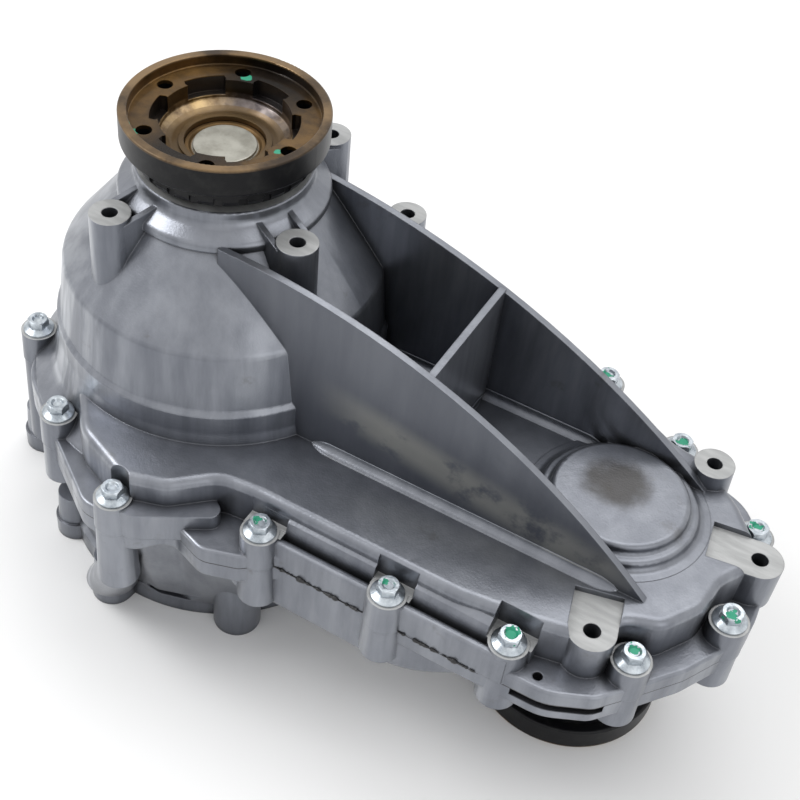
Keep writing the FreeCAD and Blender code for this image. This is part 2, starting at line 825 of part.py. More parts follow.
def rear_case():
    """Upper casting of the transfer case."""
    flange = round_edges_at(slab(flange_web(), REAR_CASE_Z, REAR_FLANGE_TOP_Z), REAR_FLANGE_TOP_Z, 2)
    deck = round_edges_at(slab(deck_plan(), REAR_CASE_Z, DECK_Z), DECK_Z, 5)
    body = fused([flange, deck, corner_web()] + straight_rim())
    shapes = [body.cut(head_pockets()), dome()]
    shapes += ribs()
    shapes += support_bosses()
    shapes += single_bosses()
    shapes += bolt_columns(BOLT_SEAT_Z, REAR_CASE_Z)
    shapes += column_pads()
    shapes.append(front_boss())
    shapes += [slab(ear_plan(*spot), REAR_FLANGE_TOP_Z - 3, EAR_TOP_Z) for spot in EARS]
    tools = [dome_cavity()]
    tools += [slab(ear_plan(*spot), EAR_TOP_Z, DECK_Z + 2) for spot in EARS]
    tools += chamber_tools(REAR_CASE_Z - 1, DECK_Z - WALL)
    tools.append(disc(PILOT_OUTER, DECK_Z - WALL - 1, PILOT_BEARING_Z + PILOT_WIDTH, SHAFT_DISTANCE))
    tools += output_bores()
    tools += bolt_holes(BOLT_CLEARANCE_RADIUS, REAR_CASE_Z - 1, BOLT_SEAT_Z + 1)
    tools += [disc(M10_TAP_RADIUS, z - depth, z + 1, x, y) for x, y, z, depth in tapped_spots()]
    tools.append(disc(PLATEAU_HOLE_RADIUS, REAR_FLANGE_TOP_Z - 7, REAR_FLANGE_TOP_Z + 20, *PLATEAU_HOLE))
    ear_low = EAR_TOP_Z - EAR_HOLE_DEPTH
    tools += [disc(EAR_HOLE_RADIUS, ear_low, EAR_TOP_Z + 20, x, y) for x, y, _ in EARS]
    tools += dowel_holes()
    tools.append(disc(BREATHER_RADIUS, DECK_Z - WALL - 1, DECK_Z + 1, BREATHER_X, BREATHER_Y))
    return fused(shapes).cut(tools)


# ---------------------------------------------------------------- front case


def adapter_flange():
    """Lobed flange that bolts to the gearbox."""
    shapes = [disc(ADAPTER_RADIUS, 0, ADAPTER_THICKNESS)]
    for angle, radius in ADAPTER_BOLTS:
        x, y = polar(radius, angle)
        shapes.append(disc(ADAPTER_LOBE_RADIUS, 0, ADAPTER_THICKNESS, x, y))
        shapes.append(cone(ADAPTER_LOBE_RADIUS - 1.5, 10.0, ADAPTER_THICKNESS - 1, ADAPTER_BOSS_TOP_Z, x, y))
        arm = box(
            BELL_FOOT_RADIUS - 20,
            radius,
            -ADAPTER_LOBE_RADIUS,
            ADAPTER_LOBE_RADIUS,
            0,
            ADAPTER_THICKNESS,
        )
        shapes.append(turned_about(arm, angle))
    return shapes


def bell():
    """Cone between the adapter flange and the joint flange."""
    joint_low = JOINT_Z - FRONT_FLANGE_THICKNESS
    return turned(
        [
            (0, 0),
            (ADAPTER_RADIUS, 0),
            (ADAPTER_RADIUS, ADAPTER_THICKNESS, 2),
            (BELL_FOOT_RADIUS, ADAPTER_THICKNESS + 4, 4),
            (BELL_TOP_RADIUS, joint_low - 6, 10),
            (SKIRT_RADIUS - 2, joint_low + 2, 2),
            (SKIRT_RADIUS - 2, JOINT_Z),
            (0, JOINT_Z),
        ]
    )


def corner_wall():
    """Sloping outer wall between the two tallest columns on the bell."""
    top = JOINT_Z - 1
    low = ADAPTER_THICKNESS - 1
    upper = rounded_wire(
        [(-18, -80, 8), (0, -135, 13), (32, -135, 12), (50, -119, 8), (90, -120, 8), (88, -50, 8)],
        lambda a, b: Vector(a, b, top),
    )
    lower = rounded_wire(
        [(-18, -70, 8), (-6, -97, 10), (20, -98, 10), (36, -93, 8), (74, -76, 8), (70, -40, 8)],
        lambda a, b: Vector(a, b, low),
    )
    return Part.makeLoft([upper, lower], True, True)


def slanted_foot():
    """Tapered foot that brings the outermost bolt column down onto its adapter lobe."""
    x, y, length = BOLT_COLUMNS[2]
    angle, radius = ADAPTER_BOLTS[2]
    low = polar(radius, angle)
    upper = Part.Wire(Part.makeCircle(COLUMN_RADIUS, Vector(x, y, JOINT_Z - length + 6)))
    lower = Part.Wire(Part.makeCircle(ADAPTER_LOBE_RADIUS + 3, Vector(low[0], low[1], ADAPTER_THICKNESS - 1)))
    return Part.makeLoft([upper, lower], True, True)


def output_neck():
    """Round neck that carries the front output bearing and its seal."""
    profile = [
        (0, HOUSING_FLOOR_Z + 4),
        (FRONT_NECK_RADIUS, HOUSING_FLOOR_Z + 4),
        (FRONT_NECK_RADIUS, OVERALL_HEIGHT - COLLAR_Z + 11, 2),
        (COLLAR_RADIUS, OVERALL_HEIGHT - COLLAR_Z + 4, 3),
        (COLLAR_RADIUS, OVERALL_HEIGHT - COLLAR_Z - 2, 2),
        (NECK_RADIUS, OVERALL_HEIGHT - COLLAR_Z - 8, 4),
        (NECK_RADIUS, NECK_HEIGHT, 1),
        (0, NECK_HEIGHT),
    ]
    return turned(profile, SHAFT_DISTANCE)


def front_cavity():
    """Hollow round the input bearing hub, open to the chain chamber."""
    hub = INPUT_OUTER + HUB_WALL
    low = ADAPTER_PILOT_DEPTH + 12.0
    return turned(
        [
            (0, HUB_TOP_Z),
            (hub, HUB_TOP_Z),
            (hub, low, 4),
            (BELL_FOOT_RADIUS - WALL, low, 4),
            (BELL_TOP_RADIUS - 2 * WALL, HOUSING_FLOOR_Z + WALL + 1),
            (BELL_TOP_RADIUS - 2 * WALL, HOUSING_FLOOR_Z + WALL + 6),
            (0, HOUSING_FLOOR_Z + WALL + 6),
        ]
    )


def input_bores():
    """Pilot recess, seal bore, bearing seat and snap ring groove of the input."""
    seal_low = ADAPTER_PILOT_DEPTH
    shoulder = INPUT_BEARING_Z - 4
    ring_z = INPUT_BEARING_Z + INPUT_WIDTH
    return [
        disc(ADAPTER_PILOT_RADIUS, -1, ADAPTER_PILOT_DEPTH),
        disc(INPUT_SEAL_RADIUS, seal_low - 1, shoulder),
        disc(INPUT_BORE + 6, shoulder - 1, INPUT_BEARING_Z + 1),
        disc(INPUT_OUTER, INPUT_BEARING_Z, HUB_TOP_Z + 1),
        disc(INPUT_OUTER + SNAP_RING_DEPTH, ring_z, ring_z + SNAP_RING_WIDTH + 0.2),
    ]


def to_front(shape):
    """Turns a rear output piece over, so that it serves the front output."""
    half = OVERALL_HEIGHT / 2
    return moved(shape.mirror(Vector(0, 0, half), UP), SHAFT_DISTANCE)


def pry_slot():
    """Slot under the rear case's flange where the cases are prised apart."""
    x = SHAFT_DISTANCE
    band = ring(120, 97, JOINT_Z - 5, JOINT_Z + 1, x)
    return band.common(box(x - 4, x + 40, -130, -60, 0, OVERALL_HEIGHT))


def plug_cylinder(name, radius, y_low, y_high):
    """Cylinder along Y on the centre line of a fill or drain plug."""
    x, _ = PLUG_SPOTS[name]
    return Part.makeCylinder(radius, y_high - y_low, Vector(x, y_low, PLUG_Z), Vector(0, 1, 0))


def front_case():
    """Lower casting of the transfer case."""
    floor_round = 7.0
    joint_low = JOINT_Z - FRONT_FLANGE_THICKNESS
    flange = round_edges_at(slab(flange_web(), joint_low, JOINT_Z), joint_low, 2)
    housing = round_edges_at(slab(housing_plan(), HOUSING_FLOOR_Z, JOINT_Z), HOUSING_FLOOR_Z, floor_round)
    corner = polar(*reversed(ADAPTER_BOLTS[3]))
    shapes = [flange.cut([pry_slot()]), housing.cut([pry_slot()]), bell(), corner_wall()]
    shapes += [slanted_foot(), output_neck()]
    shapes.append(disc(CORNER_COLUMN_RADIUS, 0, CORNER_COLUMN_TOP_Z, *corner))
    shapes += adapter_flange()
    shapes += bolt_columns(JOINT_Z, None)
    for name, (_, y) in PLUG_SPOTS.items():
        shapes.append(plug_cylinder(name, PLUG_BOSS_RADIUS, 88, y))
    tools = [front_cavity()]
    tools += chamber_tools(HOUSING_FLOOR_Z + WALL, JOINT_Z + 1)
    tools += input_bores()
    tools += [to_front(tool) for tool in output_bores()]
    tools.append(disc(OUTPUT_OUTER - 4, HOUSING_FLOOR_Z - 4, HOUSING_FLOOR_Z + WALL + 1, SHAFT_DISTANCE))
    tools.append(box(12, 50, -112, -92, ADAPTER_THICKNESS, ADAPTER_THICKNESS + 8))
    tools += bolt_holes(BOLT_TAP_RADIUS, BOLT_SEAT_Z - BOLT_LENGTH - 1, JOINT_Z + 1)
    for angle, radius in ADAPTER_BOLTS:
        tools.append(disc(ADAPTER_HOLE_RADIUS, -1, ADAPTER_HOLE_DEPTH, *polar(radius, angle)))
    for name, (_, y) in PLUG_SPOTS.items():
        tools.append(plug_cylinder(name, PLUG_RADIUS - CLEARANCE, 84, y + 1))
    tools += dowel_holes()
    return fused(shapes).cut(tools)


# ---------------------------------------------------------------- fasteners and small case parts


def flange_bolt(x, y):
    """M8 flange bolt with a dished hexagon head."""
    head = turned(
        [
            (0, BOLT_SEAT_Z),
            (BOLT_WASHER_RADIUS, BOLT_SEAT_Z),
            (BOLT_WASHER_RADIUS, BOLT_SEAT_Z + 1.2, 0.5),
            (BOLT_HEX_ACROSS_FLATS / 2 + 0.4, BOLT_SEAT_Z + 3.4),
            (0, BOLT_SEAT_Z + 3.4),
        ],
        x,
        y,
    )
    corner = BOLT_HEX_ACROSS_FLATS / math.sqrt(3)
    top = BOLT_SEAT_Z + BOLT_HEAD_HEIGHT
    crown = turned(
        [
            (0, BOLT_SEAT_Z),
            (corner + 0.2, BOLT_SEAT_Z),
            (corner + 0.2, top - 1.2),
            (corner - 1.0, top),
            (0, top),
        ],
        x,
        y,
    )
    hexagon_head = hexagon(BOLT_HEX_ACROSS_FLATS, BOLT_SEAT_Z + 1, top, x, y).common(crown)
    dish = cone(2.6, 3.6, top - 1.4, top + 0.1, x, y)
    neck = disc(BOLT_RADIUS, JOINT_Z + 3, BOLT_SEAT_Z + 1, x, y)
    thread = disc(BOLT_TAP_RADIUS - CLEARANCE, BOLT_SEAT_Z - BOLT_LENGTH, JOINT_Z + 4, x, y)
    return head.multiFuse([hexagon_head, neck, thread]).cut(dish)


def plug(name):
    """Threaded plug with a hexagon head on a sealing washer."""
    x, y = PLUG_SPOTS[name]
    seat = y + PLUG_WASHER_THICKNESS
    shank = plug_cylinder(name, PLUG_RADIUS - 2 * CLEARANCE, y - PLUG_LENGTH, seat + 1)
    collar = plug_cylinder(name, PLUG_HEAD_RADIUS, seat, seat + 2)
    head = hexagon(PLUG_HEX_ACROSS_FLATS, 0, PLUG_HEAD_HEIGHT)
    head.rotate(Vector(0, 0, 0), Vector(1, 0, 0), -90)
    head.translate(Vector(x, seat + 1, PLUG_Z))
    return shank.multiFuse([collar, head])


def plug_washer(name):
    """Crush washer under a plug."""
    _, y = PLUG_SPOTS[name]
    outer = plug_cylinder(name, PLUG_HEAD_RADIUS - 0.5, y, y + PLUG_WASHER_THICKNESS)
    return outer.cut(plug_cylinder(name, PLUG_RADIUS, y - 1, y + 3))


def breather():
    """Pressed-in vent with a mushroom cap."""
    return turned(
        [
            (0, DECK_Z - WALL),
            (BREATHER_RADIUS, DECK_Z - WALL),
            (BREATHER_RADIUS, DECK_Z),
            (BREATHER_RADIUS + 2, DECK_Z),
            (BREATHER_RADIUS + 2, DECK_Z + 4, 0.8),
            (BREATHER_RADIUS - 1, DECK_Z + 5),
            (BREATHER_RADIUS - 1, DECK_Z + 10),
            (BREATHER_RADIUS + 3, DECK_Z + 10),
            (BREATHER_RADIUS + 3, DECK_Z + 17, 3),
            (0, DECK_Z + 18),
        ],
        BREATHER_X,
        BREATHER_Y,
    )


def sealant():
    """Bead of liquid gasket between the two cases."""
    web = slab(flange_web(), JOINT_Z, REAR_CASE_Z)
    columns = [disc(COLUMN_RADIUS, JOINT_Z, REAR_CASE_Z, x, y) for x, y, _ in BOLT_COLUMNS]
    tools = chamber_tools(JOINT_Z - 1, REAR_CASE_Z + 1)
    tools += bolt_holes(BOLT_CLEARANCE_RADIUS, JOINT_Z - 1, REAR_CASE_Z + 1)
    tools += [disc(DOWEL_RADIUS, JOINT_Z - 1, REAR_CASE_Z + 1, x, y) for x, y in DOWEL_SPOTS]
    tools.append(disc(BEAD_RADIUS - WALL, JOINT_Z - 1, REAR_CASE_Z + 1))
    return fused([web] + columns).cut(tools)


def oil_baffle():
    """Folded sheet under the chain that keeps oil round the sprockets."""
    floor_z = HOUSING_FLOOR_Z + WALL
    shapes = [box(100, 190, -32, 32, BAFFLE_Z, BAFFLE_Z + BAFFLE_THICKNESS)]
    for y in (-32, 32 - BAFFLE_THICKNESS):
        shapes.append(box(110, 180, y, y + BAFFLE_THICKNESS, floor_z, BAFFLE_Z + BAFFLE_THICKNESS))
    return fused(shapes)


def snap_ring(outer, inner, z, x=0.0):
    """Open retaining ring."""
    band = ring(outer, inner, z, z + SNAP_RING_WIDTH, x)
    return band.cut(box(x + inner - 2, x + outer + 2, -4, 4, z - 1, z + SNAP_RING_WIDTH + 1))


def oil_seal(outer, inner, z_low, z_high, x=0.0):
    """Radial shaft seal with a sprung lip."""
    middle = (z_low + z_high) / 2
    profile = [
        (inner + CLEARANCE, middle - 1.2),
        (inner + CLEARANCE, middle + 0.4),
        (inner + 4, middle + 1),
        (outer - 4, z_high - 3),
        (outer - 4, z_high),
        (outer, z_high),
        (outer, z_low, 1),
        (inner + 3, z_low, 1),
    ]
    return turned(profile, x)


def ball_bearing(spec, z_low, x=0.0):
    """Inner race, outer race and balls of a deep-groove bearing."""
    bore, outer, width, count = spec
    middle = (bore + outer) / 2
    ball = 0.3 * (outer - bore)
    z_mid = z_low + width / 2
    groove = Part.makeTorus(middle, ball + CLEARANCE, Vector(x, 0, z_mid))
    inner_race = ring(middle - 0.4 * ball, bore, z_low, z_low + width, x).cut(groove)
    outer_race = ring(outer, middle + 0.4 * ball, z_low, z_low + width, x).cut(groove)
    balls = []
    for i in range(count):
        bx, by = polar(middle, 360.0 * i / count, x)
        balls.append(Part.makeSphere(ball, Vector(bx, by, z_mid)))
    return inner_race, outer_race, Part.makeCompound(balls)


# ---------------------------------------------------------------- output flanges


def flange_bolt_spots():
    """Centres of the tapped holes in an output flange."""
    step = 360.0 / FLANGE_BOLT_COUNT
    return [polar(FLANGE_BOLT_CIRCLE / 2, FLANGE_BOLT_ANGLE + step * i) for i in range(FLANGE_BOLT_COUNT)]


def output_flange():
    """Companion flange of the rear output: rim, bolting face with ears, bowl and splined hub."""
    top = OVERALL_HEIGHT
    face = top - FLANGE_PILOT_DEPTH
    plate = top - FLANGE_PLATE
    floor = top - BOWL_FLOOR_DEPTH
    bottom = top - BOWL_BOTTOM_DEPTH
    body = turned(
        [
            (0, HUB_END_Z),
            (HUB_RADIUS, HUB_END_Z, 1),
            (HUB_RADIUS, bottom, 2),
            (BOWL_OUTER_RADIUS, bottom, 2),
            (BOWL_OUTER_RADIUS, plate, 2),
            (FLANGE_RADIUS, plate, 1.5),
            (FLANGE_RADIUS, top, 1),
            (FLANGE_PILOT_RADIUS, top, 0.8),
            (FLANGE_PILOT_RADIUS, face, 0.6),
            (0, face),
        ]
    )
    bowl = turned(
        [
            (0, floor),
            (BOWL_INNER_RADIUS - 6, floor, 3),
            (BOWL_INNER_RADIUS, floor + 4, 1.5),
            (BOWL_INNER_RADIUS, plate + 3),
            (BOWL_INNER_RADIUS, face + 1),
            (0, face + 1),
        ]
    )
    pockets = disc(BOWL_POCKET_RADIUS, plate + 1, face + 1)
    ears = [disc(10.5, plate, face + 2, x, y) for x, y in flange_bolt_spots()]
    for angle in range(FLANGE_BOLT_COUNT):
        turn = FLANGE_BOLT_ANGLE + angle * 360.0 / FLANGE_BOLT_COUNT
        ears.append(turned_about(box(BOWL_INNER_RADIUS - 4, 46, -7.5, 7.5, plate, face + 2), turn))
    pockets = pockets.cut(ears)
    lip = ring(CAP_DISC_RADIUS + 7.5, NUT_RECESS_RADIUS, floor - 1, floor + 1.2)
    body = body.cut([bowl, pockets]).fuse(lip)
    tools = [disc(NUT_RECESS_RADIUS, top - NUT_SEAT_DEPTH, floor + 3)]
    tools.append(spline(HUB_END_Z - 1, top - NUT_SEAT_DEPTH + 1, CLEARANCE))
    tools += [disc(M10_TAP_RADIUS, HUB_END_Z, face + 1, x, y) for x, y in flange_bolt_spots()]
    return body.cut(tools).removeSplitter()


def slinger():
    """Notched deflector pressed round the bowl of an output flange, with room for the flange bolts."""
    low = OVERALL_HEIGHT - BOWL_BOTTOM_DEPTH
    high = OVERALL_HEIGHT - FLANGE_PLATE
    body = turned(
        [
            (BOWL_OUTER_RADIUS, low),
            (SLINGER_RADIUS - 1.5, low),
            (SLINGER_RADIUS, low + 3),
            (SLINGER_RADIUS, high),
            (BOWL_OUTER_RADIUS + 2.4, high),
            (BOWL_OUTER_RADIUS, high - 2.4),
        ]
    )
    notches = [disc(M10_TAP_RADIUS + 0.1, low - 1, high + 1, x, y) for x, y in flange_bolt_spots()]
    for i in range(SLINGER_NOTCHES):
        notch = box(SLINGER_RADIUS - 1.6, SLINGER_RADIUS + 2, -2.2, 2.2, low - 1, low + 5)
        notches.append(turned_about(notch, 360.0 * i / SLINGER_NOTCHES))
    return body.cut(notches)


def flange_nut():
    """Thin nut that holds the output flange on its shaft."""
    low = OVERALL_HEIGHT - NUT_SEAT_DEPTH
    return hexagon(NUT_ACROSS_FLATS, low, low + NUT_HEIGHT).cut(disc(SHAFT_THREAD_RADIUS, low - 1, low + 20))


def end_cap():
    """Pressed cap over the nut, with a raised round centre."""
    low = OVERALL_HEIGHT - CAP_DEPTH - CAP_THICKNESS
    return turned(
        [
            (0, low),
            (NUT_RECESS_RADIUS, low),
            (NUT_RECESS_RADIUS, low + 2.4, 0.6),
            (CAP_DISC_RADIUS + 2.2, low + 2.4),
            (CAP_DISC_RADIUS + 1.2, low + 1.2),
            (CAP_DISC_RADIUS, low + 1.2),
            (CAP_DISC_RADIUS, low + CAP_THICKNESS, 0.6),
            (0, low + CAP_THICKNESS),
        ]
    )


# ---------------------------------------------------------------- shafts and differential


def rear_output_shaft():
    """Shaft of the rear output with the disc that carries the ring gear."""
    nut_z = OVERALL_HEIGHT - NUT_SEAT_DEPTH
    disc_top = DRUM_DISC_Z + DRUM_DISC_THICKNESS
    body = turned(
        [
            (0, DRUM_DISC_Z),
            (DRUM_DISC_RADIUS, DRUM_DISC_Z),
            (DRUM_DISC_RADIUS, disc_top),
            (OUTPUT_BORE + 10, disc_top, 4),
            (OUTPUT_BORE + 6, REAR_BEARING_Z - WALL - 2, 3),
            (OUTPUT_BORE + 4, REAR_BEARING_Z),
            (OUTPUT_BORE, REAR_BEARING_Z),
            (OUTPUT_BORE, HUB_END_Z),
            (0, HUB_END_Z),
        ]
    )
    thread = disc(SHAFT_THREAD_RADIUS, nut_z - 1, nut_z + NUT_HEIGHT - 1)
    holes = [disc(8, DRUM_DISC_Z - 1, disc_top + 1, *polar(52, 60 * i)) for i in range(6)]
    return body.cut(holes).multiFuse([spline(HUB_END_Z - 1, nut_z), thread])


def front_output_shaft():
    """Shaft of the front output, from its flange up to the pilot bearing."""
    x = SHAFT_DISTANCE
    nut_z = NUT_SEAT_DEPTH
    journal_top = HUB_END_DEPTH + OUTPUT_WIDTH
    body = turned(
        [
            (0, HUB_END_DEPTH),
            (OUTPUT_BORE, HUB_END_DEPTH),
            (OUTPUT_BORE, journal_top),
            (OUTPUT_BORE + 4, journal_top),
            (OUTPUT_BORE + 4, CHAIN_LOW_Z - 12),
            (SPROCKET_SEAT_RADIUS + 5, CHAIN_LOW_Z - 8),
            (SPROCKET_SEAT_RADIUS + 5, CHAIN_LOW_Z - 1),
            (SPROCKET_SEAT_RADIUS, CHAIN_LOW_Z - 1),
            (SPROCKET_SEAT_RADIUS, CHAIN_TOP_Z + 1),
            (PILOT_BORE + 4, CHAIN_TOP_Z + 1),
            (PILOT_BORE + 4, PILOT_BEARING_Z),
            (PILOT_BORE, PILOT_BEARING_Z),
            (PILOT_BORE, PILOT_BEARING_Z + PILOT_WIDTH - 1),
            (0, PILOT_BEARING_Z + PILOT_WIDTH - 1),
        ],
        x,
    )
    thread = disc(SHAFT_THREAD_RADIUS, nut_z - NUT_HEIGHT + 1, nut_z + 1, x)
    return body.multiFuse([spline(nut_z, HUB_END_DEPTH + 1, 0.0, x), thread])


def input_shaft():
    """Hollow splined input with a long stem that drives the planet carrier."""
    body = turned(
        [
            (0, INPUT_SHAFT_END_Z),
            (INPUT_BORE, INPUT_SHAFT_END_Z, 1),
            (INPUT_BORE, INPUT_BEARING_Z + INPUT_WIDTH),
            (INPUT_BORE - 3, INPUT_BEARING_Z + INPUT_WIDTH),
            (INPUT_BORE - 3, SUN_LOW_Z - 6),
            (INPUT_BORE + 2, SUN_LOW_Z - 4),
            (INPUT_BORE + 2, SUN_LOW_Z - WASHER_THICKNESS - CLEARANCE),
            (STEM_RADIUS, SUN_LOW_Z - WASHER_THICKNESS - CLEARANCE),
            (STEM_RADIUS, CARRIER_HIGH_Z - 0.6),
            (0, CARRIER_HIGH_Z - 0.6),
        ]
    )
    body = body.fuse(spline(CARRIER_HIGH_Z - 1.6, CARRIER_TOP_Z + 1, 0.0))
    socket = moved(slab(toothed_face(24, 17.0, 15.2), INPUT_SHAFT_END_Z - 1, 60))
    mouth = cone(18.0, 16.8, INPUT_SHAFT_END_Z - 1, INPUT_SHAFT_END_Z + 3)
    return body.cut([socket, mouth])


def planet_spots():
    """Centres of the planet pins."""
    return [polar(PLANET_CIRCLE, 360.0 * i / PLANETS) for i in range(PLANETS)]


def planet_carrier():
    """Lower carrier ring with its posts."""
    low = ring(CARRIER_RADIUS, GEAR_MODULE * SUN_TEETH / 2 + 4, CARRIER_LOW_Z, CARRIER_LOW_Z + CARRIER_PLATE)
    posts = []
    for i in range(PLANETS):
        x, y = polar(PLANET_CIRCLE, 360.0 * (i + 0.5) / PLANETS)
        posts.append(disc(7.5, CARRIER_LOW_Z + 1, CARRIER_HIGH_Z, x, y))
    holes = [disc(PLANET_PIN_RADIUS, CARRIER_LOW_Z - 1, CARRIER_HIGH_Z, x, y) for x, y in planet_spots()]
    return fused([low] + posts).cut(holes)


def carrier_plate():
    """Upper carrier plate, splined to the input stem."""
    plate = disc(CARRIER_RADIUS, CARRIER_HIGH_Z, CARRIER_TOP_Z)
    holes = [disc(PLANET_PIN_RADIUS, CARRIER_HIGH_Z - 1, CARRIER_TOP_Z + 1, x, y) for x, y in planet_spots()]
    holes.append(spline(CARRIER_HIGH_Z - 1, CARRIER_TOP_Z + 1, CLEARANCE))
    return plate.cut(holes)


def planet_gear(i):
    """One planet, turned so that it meshes with the sun and the ring at rest."""
    x, y = planet_spots()[i]
    angle = 2 * math.pi * i / PLANETS
    sun_tooth_faces_it = (i * SUN_TEETH) % PLANETS == 0
    half_step = math.pi / PLANET_TEETH if sun_tooth_faces_it else 0.0
    phase = angle + half_step
    body = moved(gear(PLANET_TEETH, GEAR_LOW_Z, GEAR_TOP_Z, phase), x, y)
    return body.cut(disc(PLANET_PIN_RADIUS + CLEARANCE, GEAR_LOW_Z - 1, GEAR_TOP_Z + 1, x, y))


def thrust_washers():
    """Washers at both ends of every planet, and the one under the sun shaft."""
    washers = []
    for x, y in planet_spots():
        for z in (GEAR_LOW_Z - WASHER_THICKNESS, GEAR_TOP_Z + CLEARANCE):
            high = z + WASHER_THICKNESS - CLEARANCE
            washers.append(ring(12.0, PLANET_PIN_RADIUS + CLEARANCE, z, high, x, y))
    low = SUN_LOW_Z - WASHER_THICKNESS - CLEARANCE
    washers.append(ring(INPUT_BORE, STEM_RADIUS + CLEARANCE, low, SUN_LOW_Z - CLEARANCE))
    return Part.makeCompound(washers)


def sun_gear():
    """Sun gear on the hollow shaft that carries the drive sprocket."""
    bore = STEM_RADIUS + BUSH_WALL
    shaft = disc(SUN_SHAFT_RADIUS, SUN_LOW_Z, GEAR_TOP_Z)
    shoulder = disc(SUN_SHAFT_RADIUS + 5, CHAIN_TOP_Z + 1, CHAIN_TOP_Z + 8)
    groove = ring(SUN_SHAFT_RADIUS + 1, SUN_SHAFT_RADIUS - 1.5, *sprocket_ring_z())
    body = fused([shaft, shoulder, gear(SUN_TEETH, GEAR_LOW_Z, GEAR_TOP_Z)])
    return body.cut([groove, disc(bore, SUN_LOW_Z - 1, GEAR_TOP_Z + 1)])


def sprocket_ring_z():
    """Heights of the snap ring under the drive sprocket."""
    return CHAIN_LOW_Z - 1 - SNAP_RING_WIDTH, CHAIN_LOW_Z - 1


def sun_bushes():
    """Bronze bushes between the input stem and the sun shaft."""
    lows = (SUN_LOW_Z + 1, GEAR_TOP_Z - BUSH_LENGTH - 1)
    return Part.makeCompound(
        [ring(STEM_RADIUS + BUSH_WALL, STEM_RADIUS + CLEARANCE, z, z + BUSH_LENGTH) for z in lows]
    )


def ring_gear():
    """Internal gear and drum of the differential."""
    pitch = GEAR_MODULE * RING_TEETH / 2
    low = GEAR_LOW_Z - 3
    high = DRUM_DISC_Z + DRUM_DISC_THICKNESS + SNAP_RING_WIDTH + 2.5
    phase = math.pi / RING_TEETH
    space = gear_face(RING_TEETH, pitch + 1.25 * GEAR_MODULE, pitch - 0.9 * GEAR_MODULE, -BACKLASH, phase)
    tools = [slab(space, low - 1, GEAR_TOP_Z + 2)]
    tools.append(disc(DRUM_DISC_RADIUS, GEAR_TOP_Z + 1.5, high + 1))
    tools.append(disc(DRUM_DISC_RADIUS + SNAP_RING_DEPTH, *drum_ring_z()))
    return disc(RING_OUTER_RADIUS, low, high).cut(tools)


def drum_ring_z():
    """Heights of the groove over the output shaft's disc."""
    low = DRUM_DISC_Z + DRUM_DISC_THICKNESS
    return low, low + SNAP_RING_WIDTH + 0.2


def sprocket(bore, x=0.0):
    """Chain sprocket with straight-sided teeth."""
    face = toothed_face(SPROCKET_TEETH, SPROCKET_TIP_RADIUS, SPROCKET_TIP_RADIUS - SPROCKET_TOOTH_DEPTH)
    wheel = moved(slab(face, CHAIN_LOW_Z + 4, CHAIN_TOP_Z - 4), x)
    hub = disc(bore + 12, CHAIN_LOW_Z - 1, CHAIN_TOP_Z + 1, x)
    return fused([wheel, hub]).cut(disc(bore, CHAIN_LOW_Z - 2, CHAIN_TOP_Z + 2, x))


def chain_pins():
    """Pin centres round the chain: two half turns and two straight spans."""
    half = SPROCKET_TEETH // 2
    step = 180.0 / half
    radius = SPROCKET_PITCH_RADIUS
    points = [polar(radius, 90 + step * (i + 0.5)) for i in range(half)]
    start = points[-1]
    points += [(start[0] + CHAIN_PITCH * (i + 1), start[1]) for i in range(CHAIN_SPAN_PITCHES)]
    points += [polar(radius, -90 + step * (i + 1.5), points[-1][0] - start[0]) for i in range(half - 1)]
    top = points[-1]
    points += [(top[0] - CHAIN_PITCH * (i + 1), top[1]) for i in range(CHAIN_SPAN_PITCHES - 1)]
    return points


def link_face(start, end):
    """Outline of one link plate round two pins."""
    a = Vector(start[0], start[1], 0)
    b = Vector(end[0], end[1], 0)
    along = (b - a).normalize()
    side = Vector(-along.y, along.x, 0) * CHAIN_LINK_RADIUS
    reach = along * CHAIN_LINK_RADIUS
    wire = Part.Wire(
        [
            Part.LineSegment(a - side, b - side).toShape(),
            Part.Arc(b - side, b + reach, b + side).toShape(),
            Part.LineSegment(b + side, a + side).toShape(),
            Part.Arc(a + side, a - reach, a - side).toShape(),
        ]
    )
    return Part.Face(wire)


def drive_chain():
    """Chain of inner links with fixed pins and outer plates that turn on them."""
    pins = chain_pins()
    links = []
    inner_low = CHAIN_LOW_Z + CHAIN_PLATE + CLEARANCE
    inner_high = CHAIN_TOP_Z - CHAIN_PLATE - CLEARANCE
    for i in range(len(pins)):
        start = pins[i]
        end = pins[(i + 1) % len(pins)]
        face = link_face(start, end)
        if i % 2 == 0:
            pegs = [disc(CHAIN_PIN_RADIUS, CHAIN_LOW_Z - 1, CHAIN_TOP_Z + 1, *pin) for pin in (start, end)]
            links.append(slab(face, inner_low, inner_high).multiFuse(pegs))
            continue
        holes = [
            disc(CHAIN_PIN_RADIUS + CLEARANCE, CHAIN_LOW_Z - 2, CHAIN_TOP_Z + 2, *pin) for pin in (start, end)
        ]
        links.append(slab(face, CHAIN_LOW_Z, CHAIN_LOW_Z + CHAIN_PLATE).cut(holes))
        links.append(slab(face, CHAIN_TOP_Z - CHAIN_PLATE, CHAIN_TOP_Z).cut(holes))
    return Part.makeCompound(links)


# ---------------------------------------------------------------- write every piece

